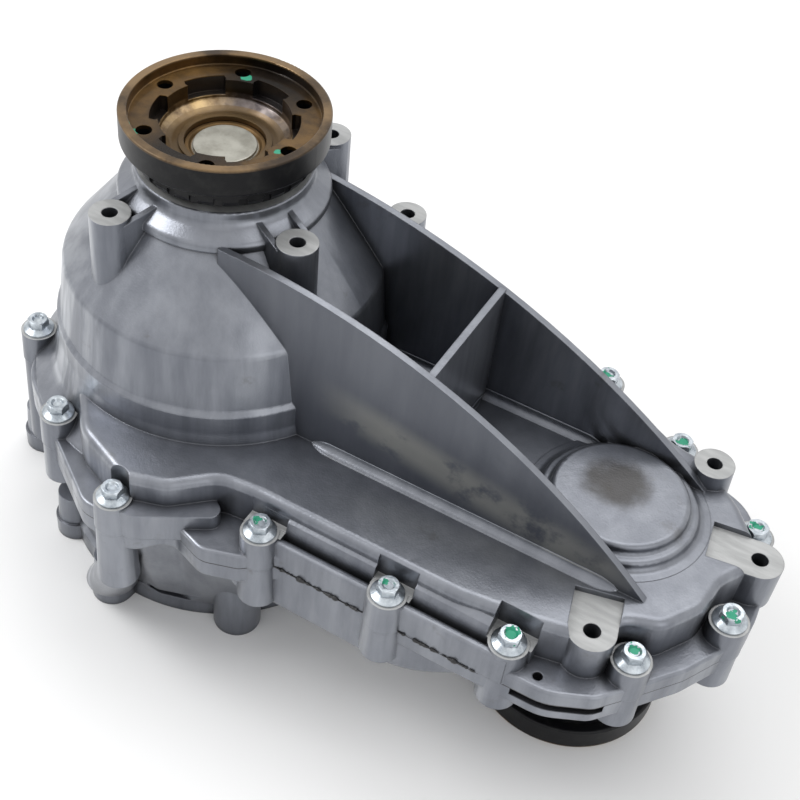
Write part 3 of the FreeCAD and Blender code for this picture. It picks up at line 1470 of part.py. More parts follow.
save("rear_case", rear_case())
save("front_case", front_case())
save("joint_sealant", sealant())
save("case_bolts", Part.makeCompound([flange_bolt(x, y) for x, y, _ in BOLT_COLUMNS]))
dowel_low = JOINT_Z - DOWEL_LENGTH / 2
dowels = [disc(DOWEL_RADIUS, dowel_low, dowel_low + DOWEL_LENGTH, x, y) for x, y in DOWEL_SPOTS]
save("dowel_pins", Part.makeCompound(dowels))
for plug_name in PLUG_SPOTS:
    save(plug_name, plug(plug_name))
save("plug_washers", Part.makeCompound([plug_washer(name) for name in PLUG_SPOTS]))
save("breather", breather())
save("oil_baffle", oil_baffle())
floor_z = HOUSING_FLOOR_Z + WALL
save("case_magnet", disc(MAGNET_RADIUS, floor_z, floor_z + MAGNET_HEIGHT, MAGNET_X, MAGNET_Y))

rear_seal = oil_seal(SEAL_BORE_RADIUS, HUB_RADIUS, NECK_TOP_Z - SEAL_WIDTH - 1, NECK_TOP_Z - 1)
save("rear_seal", rear_seal)
save("front_seal", to_front(rear_seal))
save("input_seal", oil_seal(INPUT_SEAL_RADIUS, INPUT_BORE, ADAPTER_PILOT_DEPTH + 1.5, INPUT_BEARING_Z - 4))

rear_ring = snap_ring(SEAL_BORE_RADIUS + SNAP_RING_DEPTH / 2, OUTPUT_OUTER - 3, REAR_BEARING_Z + OUTPUT_WIDTH)
save("rear_bearing_snap_ring", rear_ring)
save("front_bearing_snap_ring", to_front(rear_ring))
input_ring_z = INPUT_BEARING_Z + INPUT_WIDTH
save("input_bearing_snap_ring", snap_ring(INPUT_OUTER + SNAP_RING_DEPTH, INPUT_OUTER - 3, input_ring_z))

rear_inner, rear_outer, rear_balls = ball_bearing(OUTPUT_BEARING, REAR_BEARING_Z)
save("rear_bearing_inner_race", rear_inner)
save("rear_bearing_outer_race", rear_outer)
save("rear_bearing_balls", rear_balls)
save("front_bearing_inner_race", to_front(rear_inner))
save("front_bearing_outer_race", to_front(rear_outer))
save("front_bearing_balls", to_front(rear_balls))
input_inner, input_outer, input_balls = ball_bearing(INPUT_BEARING, INPUT_BEARING_Z)
save("input_bearing_inner_race", input_inner)
save("input_bearing_outer_race", input_outer)
save("input_bearing_balls", input_balls)
pilot_inner, pilot_outer, pilot_balls = ball_bearing(PILOT_BEARING, PILOT_BEARING_Z, SHAFT_DISTANCE)
save("pilot_bearing_inner_race", pilot_inner)
save("pilot_bearing_outer_race", pilot_outer)
save("pilot_bearing_balls", pilot_balls)

save("input_shaft", input_shaft())
save("planet_carrier", planet_carrier())
save("carrier_plate", carrier_plate())
pins = [disc(PLANET_PIN_RADIUS, CARRIER_LOW_Z, CARRIER_TOP_Z, x, y) for x, y in planet_spots()]
save("planet_pins", Part.makeCompound(pins))
save("thrust_washers", thrust_washers())
for planet in range(PLANETS):
    save("planet_gear_" + str(planet + 1), planet_gear(planet))

save("sun_gear", sun_gear())
save("sun_bushes", sun_bushes())
save("drive_sprocket", sprocket(SUN_SHAFT_RADIUS))
save("sprocket_snap_ring", snap_ring(SUN_SHAFT_RADIUS + 2.5, SUN_SHAFT_RADIUS - 1.5, sprocket_ring_z()[0]))
save("drive_chain", drive_chain())

save("rear_output_shaft", rear_output_shaft())
save("ring_gear", ring_gear())
drum_groove = DRUM_DISC_RADIUS + SNAP_RING_DEPTH
save("ring_gear_snap_ring", snap_ring(drum_groove, DRUM_DISC_RADIUS - 3, drum_ring_z()[0]))
flange = output_flange()
save("rear_flange", flange)
save("rear_slinger", slinger())
save("rear_flange_nut", flange_nut())
save("rear_end_cap", end_cap())

save("front_output_shaft", front_output_shaft())
save("driven_sprocket", sprocket(SPROCKET_SEAT_RADIUS, SHAFT_DISTANCE))
save("front_flange", to_front(flange))
save("front_slinger", to_front(slinger()))
save("front_flange_nut", to_front(flange_nut()))
save("front_end_cap", to_front(end_cap()))
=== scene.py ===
"""Transfer case with a centre differential: finishes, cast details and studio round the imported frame."""

import math

import bpy
import numpy as np
from mathutils import Matrix, Vector

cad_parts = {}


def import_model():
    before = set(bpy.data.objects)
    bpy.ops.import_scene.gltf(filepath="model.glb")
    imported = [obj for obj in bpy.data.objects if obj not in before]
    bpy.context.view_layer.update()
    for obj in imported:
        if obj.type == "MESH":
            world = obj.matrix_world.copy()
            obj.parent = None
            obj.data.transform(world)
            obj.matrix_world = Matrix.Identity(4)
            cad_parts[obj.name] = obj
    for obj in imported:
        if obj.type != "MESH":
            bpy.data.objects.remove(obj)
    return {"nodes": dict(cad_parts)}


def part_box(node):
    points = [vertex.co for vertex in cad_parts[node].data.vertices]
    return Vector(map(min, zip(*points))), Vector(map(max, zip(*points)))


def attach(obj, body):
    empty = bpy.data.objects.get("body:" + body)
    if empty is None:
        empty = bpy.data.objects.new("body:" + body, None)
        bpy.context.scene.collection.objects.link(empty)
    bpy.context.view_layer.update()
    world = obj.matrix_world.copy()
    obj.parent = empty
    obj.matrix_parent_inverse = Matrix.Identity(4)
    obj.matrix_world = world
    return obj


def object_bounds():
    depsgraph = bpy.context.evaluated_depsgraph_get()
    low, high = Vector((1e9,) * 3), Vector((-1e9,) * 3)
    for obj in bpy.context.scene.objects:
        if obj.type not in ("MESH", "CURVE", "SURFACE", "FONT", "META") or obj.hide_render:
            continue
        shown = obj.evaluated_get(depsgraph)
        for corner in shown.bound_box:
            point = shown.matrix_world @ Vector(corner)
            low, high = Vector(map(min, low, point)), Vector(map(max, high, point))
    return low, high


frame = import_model()
cad_box = [list(map(float, corner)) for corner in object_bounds()]

MM = 0.001
SHAFT_DISTANCE = 250.0 * MM
DECK_Z = 151.5 * MM
JOINT_Z = 115.0 * MM
BOLT_TOP_Z = JOINT_Z + 24.5 * MM
REAR_TOP_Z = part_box("rear_flange")[1].z
FRONT_LOW_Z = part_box("front_flange")[0].z

# faces of the ribs, in millimetres: y of the two long ribs, x of the cross rib
NEAR_RIB = (-51.0, -47.0)
FAR_RIB = (36.0, 40.0)
CROSS_RIB = (150.0, 154.0)
RIB_START_X = 30.0 * MM
FILLET_RADIUS = 5.0

# heights of the milled faces, in millimetres: collar, support bosses, side boss, end boss, ears, bolt seats
REAR_MILLED = (270, 261, 211, 161, 148, 136)
FRONT_MILLED = (0, 8)
NECK_BAND = (40 * MM, 76 * MM)
NECK_RADIUS = 66 * MM
MILLED_REACH = 0.35 * MM

# regions of an output flange: radius and depth under the rim
PILOT_RADIUS = 50.3 * MM
PILOT_DEPTH = 8.2 * MM
POCKET_RADIUS = 39.6 * MM
BOWL_DEPTH = 22.5 * MM
RIM_INNER_RADIUS = 49.6 * MM
RIM_OUTER_RADIUS = 55.0 * MM

# green inspection paint, as (x, y, radius) in millimetres: on the bolt heads and on the rear flange
GREEN = (0.020, 0.290, 0.170)
BOLT_DABS = [
    (94.0, -107.0, 2.6),
    (170.0, -105.0, 3.0),
    (237.5, -98.0, 4.4),
    (291.5, -73.0, 4.0),
    (326.0, -25.0, 4.2),
    (317.0, 37.5, 4.4),
    (261.5, 74.0, 4.4),
    (204.0, 101.5, 3.6),
]
FLANGE_DABS = [(-11.5, 37.0, 2.6), (-30.5, -37.5, 2.2), (38.5, -9.5, 2.4)]


# ---------------------------------------------------------------- shader expressions


class Wire:
    """A shader socket that takes arithmetic: each operator adds one Math node."""

    def __init__(self, finish, socket):
        self.finish = finish
        self.socket = socket

    def _math(self, operation, *values, clamp=False):
        settings = {"operation": operation, "use_clamp": clamp}
        return self.finish.node("ShaderNodeMath", settings, dict(enumerate(values)))

    def __add__(self, other):
        return self._math("ADD", self, other)

    def __radd__(self, other):
        return self._math("ADD", other, self)

    def __sub__(self, other):
        return self._math("SUBTRACT", self, other)

    def __rsub__(self, other):
        return self._math("SUBTRACT", other, self)

    def __mul__(self, other):
        return self._math("MULTIPLY", self, other)

    def __rmul__(self, other):
        return self._math("MULTIPLY", other, self)

    def __neg__(self):
        return self._math("MULTIPLY", self, -1.0)

    def __pow__(self, power):
        return self._math("POWER", self, power)

    def __abs__(self):
        return self._math("ABSOLUTE", self)

    def over(self, limit):
        """1 where the value is above the limit."""
        return self._math("GREATER_THAN", self, limit)

    def under(self, limit):
        """1 where the value is below the limit."""
        return self._math("LESS_THAN", self, limit)

    def clamped(self):
        """The value held between 0 and 1."""
        return self._math("ADD", self, 0.0, clamp=True)

    def sine(self):
        return self._math("SINE", self)

    def step(self, low, high):
        """Smooth rise from 0 at low to 1 at high."""
        settings = {"interpolation_type": "SMOOTHSTEP"}
        return self.finish.node("ShaderNodeMapRange", settings, {"Value": self, 1: low, 2: high})

    def band(self, low, high, soft):
        """1 between low and high, with soft ends."""
        return self.step(low - soft, low + soft) * (1.0 - self.step(high - soft, high + soft))


class Finish:
    """One material: a Principled shader with its expressions."""

    def __init__(self, name):
        self.material = bpy.data.materials.new(name)
        self.material.use_nodes = True
        self.tree = self.material.node_tree
        self.tree.nodes.clear()
        self.shader = self.tree.nodes.new("ShaderNodeBsdfPrincipled")
        output = self.tree.nodes.new("ShaderNodeOutputMaterial")
        self.tree.links.new(self.shader.outputs[0], output.inputs[0])
        self.place = self.node("ShaderNodeTexCoord", out="Object")
        self.facing = self.node("ShaderNodeTexCoord", out="Normal")
        self.x, self.y, self.z = self.parts(self.place)

    def node(self, kind, settings=None, values=None, out=0):
        """Adds a node: settings first, then a value or a link for each named or numbered socket."""
        node = self.tree.nodes.new(kind)
        for key, value in (settings or {}).items():
            setattr(node, key, value)
        for key, value in (values or {}).items():
            if isinstance(value, Wire):
                self.tree.links.new(value.socket, node.inputs[key])
            else:
                node.inputs[key].default_value = value
        return Wire(self, node.outputs[out])

    def parts(self, vector):
        """The three parts of a vector."""
        node = self.tree.nodes.new("ShaderNodeSeparateXYZ")
        self.tree.links.new(vector.socket, node.inputs[0])
        return [Wire(self, node.outputs[i]) for i in range(3)]

    def noise(self, scale, detail=3.0, rough=0.5, stretch=None, distortion=0.0):
        """Cloudy noise over object coordinates, optionally stretched along the axes."""
        place = self.place
        if stretch:
            place = self.node("ShaderNodeVectorMath", {"operation": "MULTIPLY"}, {0: place, 1: stretch})
        values = {
            "Vector": place,
            "Scale": scale,
            "Detail": detail,
            "Roughness": rough,
            "Distortion": distortion,
        }
        return self.node("ShaderNodeTexNoise", {"noise_dimensions": "3D"}, values)

    def crevice(self, distance):
        """0 in a deep corner, 1 on an open face."""
        settings = {"samples": 6}
        return self.node("ShaderNodeAmbientOcclusion", settings, {"Distance": distance}, "AO")

    def feed(self, socket, value):
        """Links a wire to a socket, or sets a colour or a number on it."""
        if isinstance(value, Wire):
            self.tree.links.new(value.socket, socket)
        elif isinstance(value, tuple):
            socket.default_value = (*value, 1.0)
        else:
            socket.default_value = value

    def mix(self, factor, first, second):
        """Blend of two colours."""
        node = self.tree.nodes.new("ShaderNodeMix")
        node.data_type = "RGBA"
        for index, value in ((0, factor), (6, first), (7, second)):
            self.feed(node.inputs[index], value)
        return Wire(self, node.outputs[2])

    def set(self, **values):
        """Sets the shader's sockets, with underscores for the spaces in their names."""
        for key, value in values.items():
            self.feed(self.shader.inputs[key.replace("_", " ")], value)
        return self

    def relief(self, height, depth, edge=0.0):
        """Bump from a height, over edges that are softened by a radius."""
        values = {"Height": height, "Strength": 1.0, "Distance": depth}
        if edge:
            values["Normal"] = self.node("ShaderNodeBevel", {"samples": 4}, {"Radius": edge})
        return self.set(Normal=self.node("ShaderNodeBump", {}, values))

    def radius(self, x=0.0, y=0.0):
        """Distance from an upright axis."""
        across = self.x - x
        along = self.y - y
        return (across * across + along * along) ** 0.5

    def put_on(self, *nodes):
        """Gives the finish to pieces of the frame."""
        for name in nodes:
            data = frame["nodes"][name].data
            data.materials.clear()
            data.materials.append(self.material)


# ---------------------------------------------------------------- finishes


def cast_finish(name, milled_levels, bands=()):
    """Die-cast aluminium: satin skin with stains, painted shade in hollows and corners, a painted highlight
    on steep faces turned to -x, painted shade on steep faces turned to -y, and milled faces at given
    heights.

    Returns the finish and its colour, for the caller to add to and then set.
    """
    f = Finish(name)
    slope = f.parts(f.facing)
    flat = abs(slope[2]).over(0.985)
    milled = flat * 0.0
    for level in milled_levels:
        milled = milled + abs(f.z - level * MM).under(MILLED_REACH)
    milled = milled.clamped() * flat
    for x, low, high, radius in bands:
        turned = f.z.band(low, high, 0.2 * MM) * abs(f.radius(x) - radius).under(0.6 * MM)
        milled = (milled + turned).clamped()
    clouds = f.noise(9.0, 4.0, 0.6)
    flow = f.noise(26.0, 5.0, 0.65, (1.0, 1.0, 0.35), 0.6)
    drawn = f.noise(75.0, 4.0, 0.6, (1.0, 1.0, 0.10))
    grain = f.noise(900.0, 2.0, 0.5)
    steep = 1.0 - abs(slope[2]).step(0.30, 0.80)
    tone = 0.26 * clouds + 0.32 * flow + 0.42 * drawn
    skin = f.mix(tone.step(0.32, 0.68), (0.152, 0.163, 0.190), (0.345, 0.362, 0.398))
    skin = f.mix((1.0 - steep) * 0.55, skin, (0.228, 0.238, 0.265))
    # painted highlight: pale streaks on steep faces turned to -x, the side the key light falls on
    bright = steep * (0.2 - slope[0]).step(0.2, 1.0) * drawn.step(0.42, 0.62)
    skin = f.mix(bright * 0.60, skin, (0.66, 0.68, 0.71))
    # painted shade: steep faces turned to -y darkened
    skin = f.mix(steep * (-slope[1]).step(0.55, 1.0) * 0.25, skin, (0.105, 0.112, 0.130))
    # painted shade: the skin darkened towards near black in wide hollows and, below, in tight corners, by
    # ambient occlusion
    painted_hollow_shade = 1.0 - f.crevice(48 * MM).step(0.30, 0.95)
    skin = f.mix(painted_hollow_shade * 0.42, skin, (0.050, 0.053, 0.064))
    corner = 1.0 - f.crevice(7 * MM).step(0.30, 0.90)
    skin = f.mix(corner * 0.70, skin, (0.030, 0.030, 0.031))
    stain = f.noise(34.0, 6.0, 0.7).step(0.60, 0.74) * 0.40
    skin = f.mix(stain, skin, (0.115, 0.108, 0.098))
    marks = f.noise(220.0, 3.0, 0.5, (0.2, 1.0, 1.0))
    bare = f.mix(marks.step(0.3, 0.7), (0.34, 0.345, 0.345), (0.44, 0.445, 0.445))
    f.set(
        Metallic=0.84 - 0.25 * milled,
        Roughness=0.27 + 0.16 * flow + 0.20 * milled - 0.05 * clouds,
    )
    bumps = flow * 0.5 + grain * 0.12 + milled * marks * 0.1
    f.relief(bumps, 0.6 * MM, 0.9 * MM)
    return f, f.mix(milled, skin, bare)


def rear_case_finish():
    """Rear case: the cast skin, painted shade on the near rib's outer face, a pale mottled band along that
    face and the dark smudge on the front boss.
    """
    f, colour = cast_finish("cast_aluminium_rear", REAR_MILLED)
    cloud = f.noise(42.0, 5.0, 0.6)
    faces_near = (-f.parts(f.facing)[1]).over(0.97)
    on_rib = abs(f.y - NEAR_RIB[0] * MM).under(0.5 * MM) * f.x.over(RIB_START_X) * faces_near
    along = f.x.band(112 * MM, 262 * MM, 26 * MM)
    height = (f.z + 0.183 * f.x - 208.8 * MM).band(-11 * MM, 9 * MM, 7 * MM)
    # painted shade: the near rib's outer face darkened
    colour = f.mix(on_rib * 0.72, colour, (0.088, 0.094, 0.110))
    # a pale mottled band sloping down towards +x along the near rib's outer face
    pale_band = on_rib * along * height * cloud.step(0.34, 0.50)
    colour = f.mix(pale_band * 0.80, colour, (0.31, 0.31, 0.285))
    reach = f.radius(SHAFT_DISTANCE - 4 * MM, 4 * MM) + (cloud - 0.5) * 0.03
    smudge = (1.0 - reach.step(7 * MM, 23 * MM)) * f.z.over(DECK_Z + 9 * MM)
    return f.set(Base_Color=f.mix(smudge * 0.85, colour, (0.062, 0.058, 0.054)))


def front_case_finish():
    """Front case: the cast skin with its turned neck and milled faces."""
    bands = [(SHAFT_DISTANCE, *NECK_BAND, NECK_RADIUS)]
    f, colour = cast_finish("cast_aluminium_front", FRONT_MILLED, bands)
    return f.set(Base_Color=colour)


def zinc_finish():
    """Bright zinc with painted shade in its crevices, and dabs of green inspection paint on some heads."""
    f = Finish("zinc_plate")
    cloud = f.noise(160.0, 4.0, 0.6)
    open_face = f.crevice(2.5 * MM)
    bright = f.mix(cloud.step(0.3, 0.7), (0.34, 0.38, 0.42), (0.66, 0.71, 0.75))
    # painted shade: the zinc darkened in narrow crevices, by ambient occlusion
    bright = f.mix((1.0 - open_face) * 0.85, bright, (0.05, 0.05, 0.06))
    top = f.z.over(BOLT_TOP_Z)
    wander = (f.noise(240.0, 2.0, 0.5) - 0.42) * 0.012
    dab = cloud * 0.0
    for x, y, radius in BOLT_DABS:
        dab = dab + (f.radius(x * MM, y * MM) + wander).under(radius * MM)
    dab = dab.clamped() * top
    f.set(
        Base_Color=f.mix(dab, bright, GREEN),
        Metallic=0.92 - 0.85 * dab,
        Roughness=0.22 + 0.14 * cloud + 0.12 * dab,
    )
    return f.relief(cloud + dab * 0.6, 0.25 * MM, 0.4 * MM)


def flange_finish(name, x, top_z, outward, dabs=()):
    """Output flange: black outside, oily bronze-brown machined inside, by depth under the rim, with a
    painted gold reflection that brightens the inside away from the axis along x.
    """
    f = Finish(name)
    depth = (top_z - f.z) * outward
    radius = f.radius(x)
    inside = radius.under(PILOT_RADIUS) * depth.under(PILOT_DEPTH)
    inside = (inside + radius.under(POCKET_RADIUS) * depth.under(BOWL_DEPTH)).clamped()
    cloud = f.noise(24.0, 5.0, 0.6)
    fine = f.noise(130.0, 4.0, 0.6)
    turning = (radius * (2 * math.pi / (0.45 * MM))).sine() * 0.5 + 0.5
    # painted reflection: side grows away from the axis along x, where the inside turns to lighter bronze and
    # to gold
    side = (abs(f.x - x) * 20.0 + (cloud - 0.5) * 1.2).step(0.15, 0.95)
    oil = f.mix(side, (0.012, 0.008, 0.005), (0.150, 0.085, 0.028))
    face = f.mix(fine.step(0.35, 0.7) * 0.5, oil, (0.014, 0.010, 0.008))
    # painted reflection colour, used on the turned wall towards the sides; the steel grey is the wall's own
    # colour
    painted_gold_reflection = f.mix(fine.step(0.3, 0.7), (0.22, 0.125, 0.035), (0.62, 0.42, 0.16))
    steel = f.mix(fine.step(0.3, 0.7), (0.055, 0.045, 0.045), (0.20, 0.17, 0.16))
    wall = radius.band(28 * MM, 35.2 * MM, 0.4 * MM) * depth.band(13.5 * MM, 20.5 * MM, 0.8 * MM)
    inner = f.mix(wall, face, f.mix(side, steel, painted_gold_reflection))
    pocket = radius.band(34.8 * MM, POCKET_RADIUS, 0.3 * MM) * depth.over(6.6 * MM)
    inner = f.mix(pocket * 0.85, inner, (0.030, 0.027, 0.027))
    base = radius.under(31 * MM) * depth.over(19.0 * MM)
    inner = f.mix(base * 0.7, inner, (0.16, 0.105, 0.05))
    rim = radius.band(RIM_INNER_RADIUS, RIM_OUTER_RADIUS, 0.3 * MM) * depth.under(1.4 * MM)
    black = f.mix(fine.step(0.45, 0.75), (0.003, 0.003, 0.004), (0.012, 0.012, 0.012))
    colour = f.mix(inside, black, inner)
    colour = f.mix(rim, colour, f.mix(cloud.step(0.35, 0.6), (0.035, 0.022, 0.012), (0.20, 0.13, 0.065)))
    paint = radius * 0.0
    for dab_x, dab_y, reach in dabs:
        paint = paint + (f.radius(dab_x * MM, dab_y * MM) + (fine - 0.5) * 0.006).under(reach * MM)
    paint = paint.clamped() * inside * depth.under(PILOT_DEPTH)
    f.set(
        Base_Color=f.mix(paint, colour, GREEN),
        Metallic=0.25 + 0.65 * inside - 0.8 * paint,
        Roughness=0.30 + 0.12 * cloud - 0.05 * wall,
        Specular_IOR_Level=0.28,
        Coat_Weight=0.22 * inside,
        Coat_Roughness=0.15,
    )
    return f.relief(fine * 0.4 + turning * inside * 0.25, 0.2 * MM, 0.6 * MM)


def plain_metal(name, dark, light, rough, depth=0.2):
    """Machined metal with a thin, uneven film of oil and painted shade in its crevices."""
    f = Finish(name)
    cloud = f.noise(70.0, 4.0, 0.6)
    fine = f.noise(420.0, 3.0, 0.6)
    colour = f.mix(cloud.step(0.3, 0.7), dark, light)
    # painted shade: darker in crevices, by ambient occlusion
    colour = f.mix((1.0 - f.crevice(3 * MM)) * 0.6, colour, tuple(0.35 * c for c in dark))
    f.set(Base_Color=colour, Metallic=0.95, Roughness=rough + 0.12 * cloud)
    return f.relief(fine * 0.6 + cloud * 0.4, depth * MM, 0.3 * MM)


def cap_finish(name, x):
    """Sheet steel cap: pale grey disc inside a bronze ring."""
    f = Finish(name)
    radius = f.radius(x)
    cloud = f.noise(90.0, 4.0, 0.6)
    ring = radius.step(17.0 * MM, 18.0 * MM)
    grey = f.mix(cloud.step(0.3, 0.7), (0.30, 0.29, 0.25), (0.46, 0.45, 0.40))
    bronze = f.mix(cloud, (0.07, 0.042, 0.020), (0.22, 0.135, 0.055))
    f.set(Base_Color=f.mix(ring, grey, bronze), Metallic=0.85, Roughness=0.36 + 0.15 * cloud)
    return f.relief(cloud, 0.15 * MM, 0.3 * MM)


def rubber_finish(name, colour, rough):
    """Rubber, plastic or cured sealant with a dusty bloom."""
    f = Finish(name)
    cloud = f.noise(180.0, 4.0, 0.6)
    pale = tuple(min(1.0, 2.2 * c + 0.01) for c in colour)
    f.set(Base_Color=f.mix(cloud.step(0.4, 0.8), colour, pale), Roughness=rough + 0.15 * cloud)
    return f.relief(cloud, 0.3 * MM)


rear_skin = rear_case_finish()
rear_skin.put_on("rear_case")
front_case_finish().put_on("front_case")
zinc_finish().put_on("case_bolts", "fill_plug", "drain_plug", "oil_baffle")
flange_finish("rear_flange_steel", 0.0, REAR_TOP_Z, 1.0, FLANGE_DABS).put_on("rear_flange", "rear_slinger")
flange_finish("front_flange_steel", SHAFT_DISTANCE, FRONT_LOW_Z, -1.0).put_on(
    "front_flange", "front_slinger"
)
cap_finish("rear_cap_steel", 0.0).put_on("rear_end_cap")
cap_finish("front_cap_steel", SHAFT_DISTANCE).put_on("front_end_cap")
sealant = rubber_finish("black_sealant", (0.012, 0.012, 0.013), 0.35)
sealant.put_on("joint_sealant")
rubber_finish("seal_rubber", (0.03, 0.022, 0.018), 0.45).put_on("rear_seal", "front_seal", "input_seal")
rubber_finish("breather_plastic", (0.02, 0.02, 0.022), 0.5).put_on("breather")
rubber_finish("magnet_ferrite", (0.05, 0.05, 0.055), 0.55).put_on("case_magnet")
plain_metal("crush_washer", (0.50, 0.48, 0.45), (0.68, 0.66, 0.62), 0.35).put_on("plug_washers")
plain_metal("bearing_bronze", (0.36, 0.22, 0.09), (0.62, 0.42, 0.20), 0.28).put_on(
    "sun_bushes", "thrust_washers"
)
plain_metal("chain_steel", (0.06, 0.06, 0.065), (0.16, 0.155, 0.15), 0.32).put_on("drive_chain")
plain_metal("gear_steel", (0.20, 0.19, 0.18), (0.34, 0.33, 0.31), 0.30).put_on(
    "planet_gear_1",
    "planet_gear_2",
    "planet_gear_3",
    "planet_gear_4",
    "sun_gear",
    "ring_gear",
    "drive_sprocket",
    "driven_sprocket",
    "planet_carrier",
    "carrier_plate",
)
plain_metal("shaft_steel", (0.34, 0.33, 0.32), (0.52, 0.51, 0.50), 0.24).put_on(
    "input_shaft",
    "rear_output_shaft",
    "front_output_shaft",
    "rear_flange_nut",
    "front_flange_nut",
    "dowel_pins",
    "planet_pins",
)
plain_metal("bearing_steel", (0.50, 0.50, 0.51), (0.68, 0.68, 0.69), 0.16, depth=0.05).put_on(
    "rear_bearing_outer_race",
    "rear_bearing_inner_race",
    "rear_bearing_balls",
    "front_bearing_outer_race",
    "front_bearing_inner_race",
    "front_bearing_balls",
    "input_bearing_outer_race",
    "input_bearing_inner_race",
    "input_bearing_balls",
    "pilot_bearing_outer_race",
    "pilot_bearing_inner_race",
    "pilot_bearing_balls",
)
plain_metal("spring_steel", (0.10, 0.10, 0.11), (0.22, 0.22, 0.23), 0.3).put_on(
    "rear_bearing_snap_ring",
    "front_bearing_snap_ring",
    "input_bearing_snap_ring",
    "ring_gear_snap_ring",
    "sprocket_snap_ring",
)


# ---------------------------------------------------------------- cast and sealed details


def swept(name, path, section, finish):
    """A closed surface swept along a path.

    Point (i, j) is path[i] + section[i, j, 0] * side[i] + section[i, j, 1] * Z, where side[i] is the level
    normal Z x t[i] of the path's tangent t[i]; each end is closed by a fan round the section's middle.
    """
    path = np.asarray(path, float)
    section = np.asarray(section, float)
    stations, around = section.shape[:2]
    tangent = np.gradient(path, axis=0)
    side = np.stack([-tangent[:, 1], tangent[:, 0], np.zeros(stations)], 1)
    side /= np.linalg.norm(side, axis=1)[:, None]
    grid = path[:, None] + section[..., :1] * side[:, None] + section[..., 1:] * np.array([0.0, 0.0, 1.0])
    points = np.concatenate([grid.reshape(-1, 3), grid[[0, -1]].mean(1)])
    i, j = (k.ravel() for k in np.meshgrid(np.arange(stations - 1), np.arange(around), indexing="ij"))
    after = (j + 1) % around
    walls = np.stack([i * around + j, i * around + after, (i + 1) * around + after, (i + 1) * around + j], 1)
    j = np.arange(around)
    after = (j + 1) % around
    first, last = stations * around, stations * around + 1
    low = np.stack([np.full(around, first), after, j], 1)
    high = np.stack([np.full(around, last), first - around + j, first - around + after], 1)
    mesh = bpy.data.meshes.new(name)
    mesh.from_pydata(points.tolist(), [], walls.tolist() + low.tolist() + high.tolist())
    mesh.shade_smooth()
    mesh.materials.append(finish.material)
    item = bpy.data.objects.new(name, mesh)
    bpy.context.scene.collection.objects.link(item)
    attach(item, "case")
    return item


def fillet_section(radius, hand):
    """Concave quarter round between a floor and a wall, with its flat backs sunk 0.3 mm into both.

    With angle t from 0 to 90 degrees the round is (-r + r sin t, r - r cos t); hand -1 mirrors it.
    """
    turn = np.linspace(0.5 * np.pi, 0.0, 12)
    sunk = 0.3 * MM
    r = np.asarray(radius)[:, None]
    flat = np.ones_like(r) * sunk
    across = np.concatenate([-r, flat, flat, -r + r * np.sin(turn)], 1)
    rise = np.concatenate([-flat, -flat, r, r - r * np.cos(turn)], 1)
    section = np.stack([across * hand, rise], 2)
    return section if hand > 0 else section[:, ::-1]


def fillet(name, start, end, hand):
    """Cast fillet along a rib's foot, dying out over its last centimetre at both ends."""
    start, end = np.asarray(start) * MM, np.asarray(end) * MM
    share = np.linspace(0.0, 1.0, 60)[:, None]
    path = start + (end - start) * share
    length = np.linalg.norm(end - start)
    ends = np.minimum(share, 1.0 - share)[:, 0] * length / (10 * MM)
    size = FILLET_RADIUS * MM * np.clip(ends, 0.01, 1.0) ** 0.5
    return swept(name, path, fillet_section(size, hand), rear_skin)


def bead(name, start, end, size, seed):
    """Squeezed-out sealant: a tube of radius size * (0.55 + waves) that tapers to both ends.

    The waves are a sum of sines along the path with fixed phases from the seed.
    """
    share = np.linspace(0.0, 1.0, 240)
    start, end = np.asarray(start) * MM, np.asarray(end) * MM
    length = np.linalg.norm(end - start) / MM
    phase = np.random.default_rng(seed).uniform(0.0, 2 * np.pi, 5)
    steps = np.array([0.35, 0.62, 1.1, 1.9, 3.1])
    waves = np.sin(share[:, None] * length * steps + phase) @ np.array([0.30, 0.26, 0.20, 0.12, 0.08])
    taper = np.clip(np.minimum(share, 1.0 - share) * length / 4.0, 0.05, 1.0)
    radius = size * MM * np.clip(0.55 + waves, 0.12, 1.3) * taper
    path = start + (end - start) * share[:, None]
    path[:, 2] += 0.35 * MM * waves
    turn = np.linspace(0.0, 2 * np.pi, 12, endpoint=False)
    circle = np.stack([np.cos(turn), np.sin(turn)], 1)
    return swept(name, path, radius[:, None, None] * circle, sealant)


# places of the fillets and beads, in millimetres
DECK = DECK_Z / MM
fillet("near_rib_outer_fillet", (92, NEAR_RIB[0], DECK), (272, NEAR_RIB[0], DECK), 1)
fillet("near_rib_inner_fillet", (88, NEAR_RIB[1], DECK), (222, NEAR_RIB[1], DECK), -1)
fillet("far_rib_inner_fillet", (88, FAR_RIB[0], DECK), (228, FAR_RIB[0], DECK), 1)
fillet("far_rib_outer_fillet", (92, FAR_RIB[1], DECK), (272, FAR_RIB[1], DECK), -1)
fillet("cross_rib_front_fillet", (CROSS_RIB[1], -48, DECK), (CROSS_RIB[1], 37, DECK), -1)
fillet("cross_rib_rear_fillet", (CROSS_RIB[0], -48, DECK), (CROSS_RIB[0], 37, DECK), 1)
JOINT = JOINT_Z / MM + 0.3
SEAM_Y = -109.8
bead("sealant_bead_1", (103, SEAM_Y, JOINT), (162, SEAM_Y, JOINT), 1.3, 3)
bead("sealant_bead_2", (181, SEAM_Y, JOINT), (229, SEAM_Y, JOINT), 1.2, 8)


# ---------------------------------------------------------------- studio


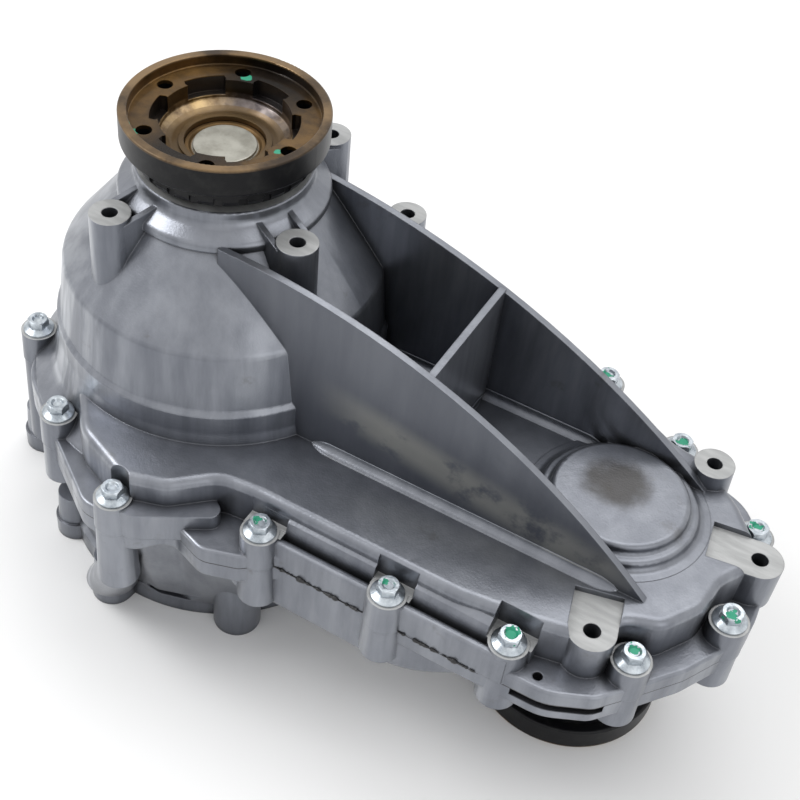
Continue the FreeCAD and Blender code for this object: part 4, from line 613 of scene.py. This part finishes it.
def camera():
    """Camera above the front output's near side, looking down at the case."""
    look = Vector((-0.32943, 0.60782, -0.72252)).normalized()
    level = look.cross(Vector((0, 0, 1))).normalized()
    rise = level.cross(look)
    roll = math.radians(4.3)
    right = level * math.cos(roll) + rise * math.sin(roll)
    up = rise * math.cos(roll) - level * math.sin(roll)
    data = bpy.data.cameras.new("camera")
    data.lens = 60.91
    data.sensor_width = 36.0
    data.shift_x = 0.1074
    data.shift_y = 0.0285
    data.clip_start = 0.01
    data.clip_end = 50.0
    item = bpy.data.objects.new("camera", data)
    turn = Matrix((right, up, -look)).transposed().to_4x4()
    item.matrix_world = Matrix.Translation((0.33133, -0.49148, 0.6904)) @ turn
    bpy.context.scene.collection.objects.link(item)
    bpy.context.scene.camera = item


def softbox(name, place, target, width, height, power):
    """One large, even lamp aimed at a point."""
    data = bpy.data.lights.new(name, "AREA")
    data.shape = "RECTANGLE"
    data.size = width
    data.size_y = height
    data.energy = power
    item = bpy.data.objects.new(name, data)
    item.location = place
    aim = Vector(target) - Vector(place)
    item.rotation_euler = aim.to_track_quat("-Z", "Y").to_euler()
    bpy.context.scene.collection.objects.link(item)


def floor():
    """Pale floor that keeps the object's shadow."""
    low = cad_box[0][2] - 0.4 * MM
    half = 30.0
    corners = np.array([[-half, -half, low], [half, -half, low], [half, half, low], [-half, half, low]])
    mesh = bpy.data.meshes.new("floor")
    mesh.from_pydata(corners.tolist(), [], [(0, 1, 2, 3)])
    item = bpy.data.objects.new("floor", mesh)
    bpy.context.scene.collection.objects.link(item)
    f = Finish("floor")
    f.set(Base_Color=(0.92, 0.92, 0.92), Roughness=0.9)
    mesh.materials.append(f.material)


def world():
    """White behind everything that is seen or mirrored, and a softer fill for the rest."""
    item = bpy.data.worlds.new("studio")
    bpy.context.scene.world = item
    item.use_nodes = True
    tree = item.node_tree
    background = tree.nodes["Background"]
    path = tree.nodes.new("ShaderNodeLightPath")
    seen = path.outputs["Is Camera Ray"]
    for name in ("Is Glossy Ray", "Is Transmission Ray"):
        join = tree.nodes.new("ShaderNodeMath")
        join.operation = "MAXIMUM"
        tree.links.new(seen, join.inputs[0])
        tree.links.new(path.outputs[name], join.inputs[1])
        seen = join.outputs[0]
    strength = tree.nodes.new("ShaderNodeMapRange")
    strength.inputs[3].default_value = 0.74
    strength.inputs[4].default_value = 1.0
    tree.links.new(seen, strength.inputs[0])
    tree.links.new(strength.outputs[0], background.inputs["Strength"])
    background.inputs["Color"].default_value = (1.0, 1.0, 1.0, 1.0)


camera()
floor()
world()
centre = (0.1, 0.0, 0.13)
softbox("key", (-0.9, -0.5, 1.3), centre, 0.7, 0.7, 11.0)
softbox("top", (0.25, 0.45, 1.5), centre, 1.4, 1.0, 7.5)
softbox("fill", (1.3, -0.6, 0.7), centre, 0.7, 0.9, 1.8)
bpy.context.scene.view_settings.view_transform = "Standard"
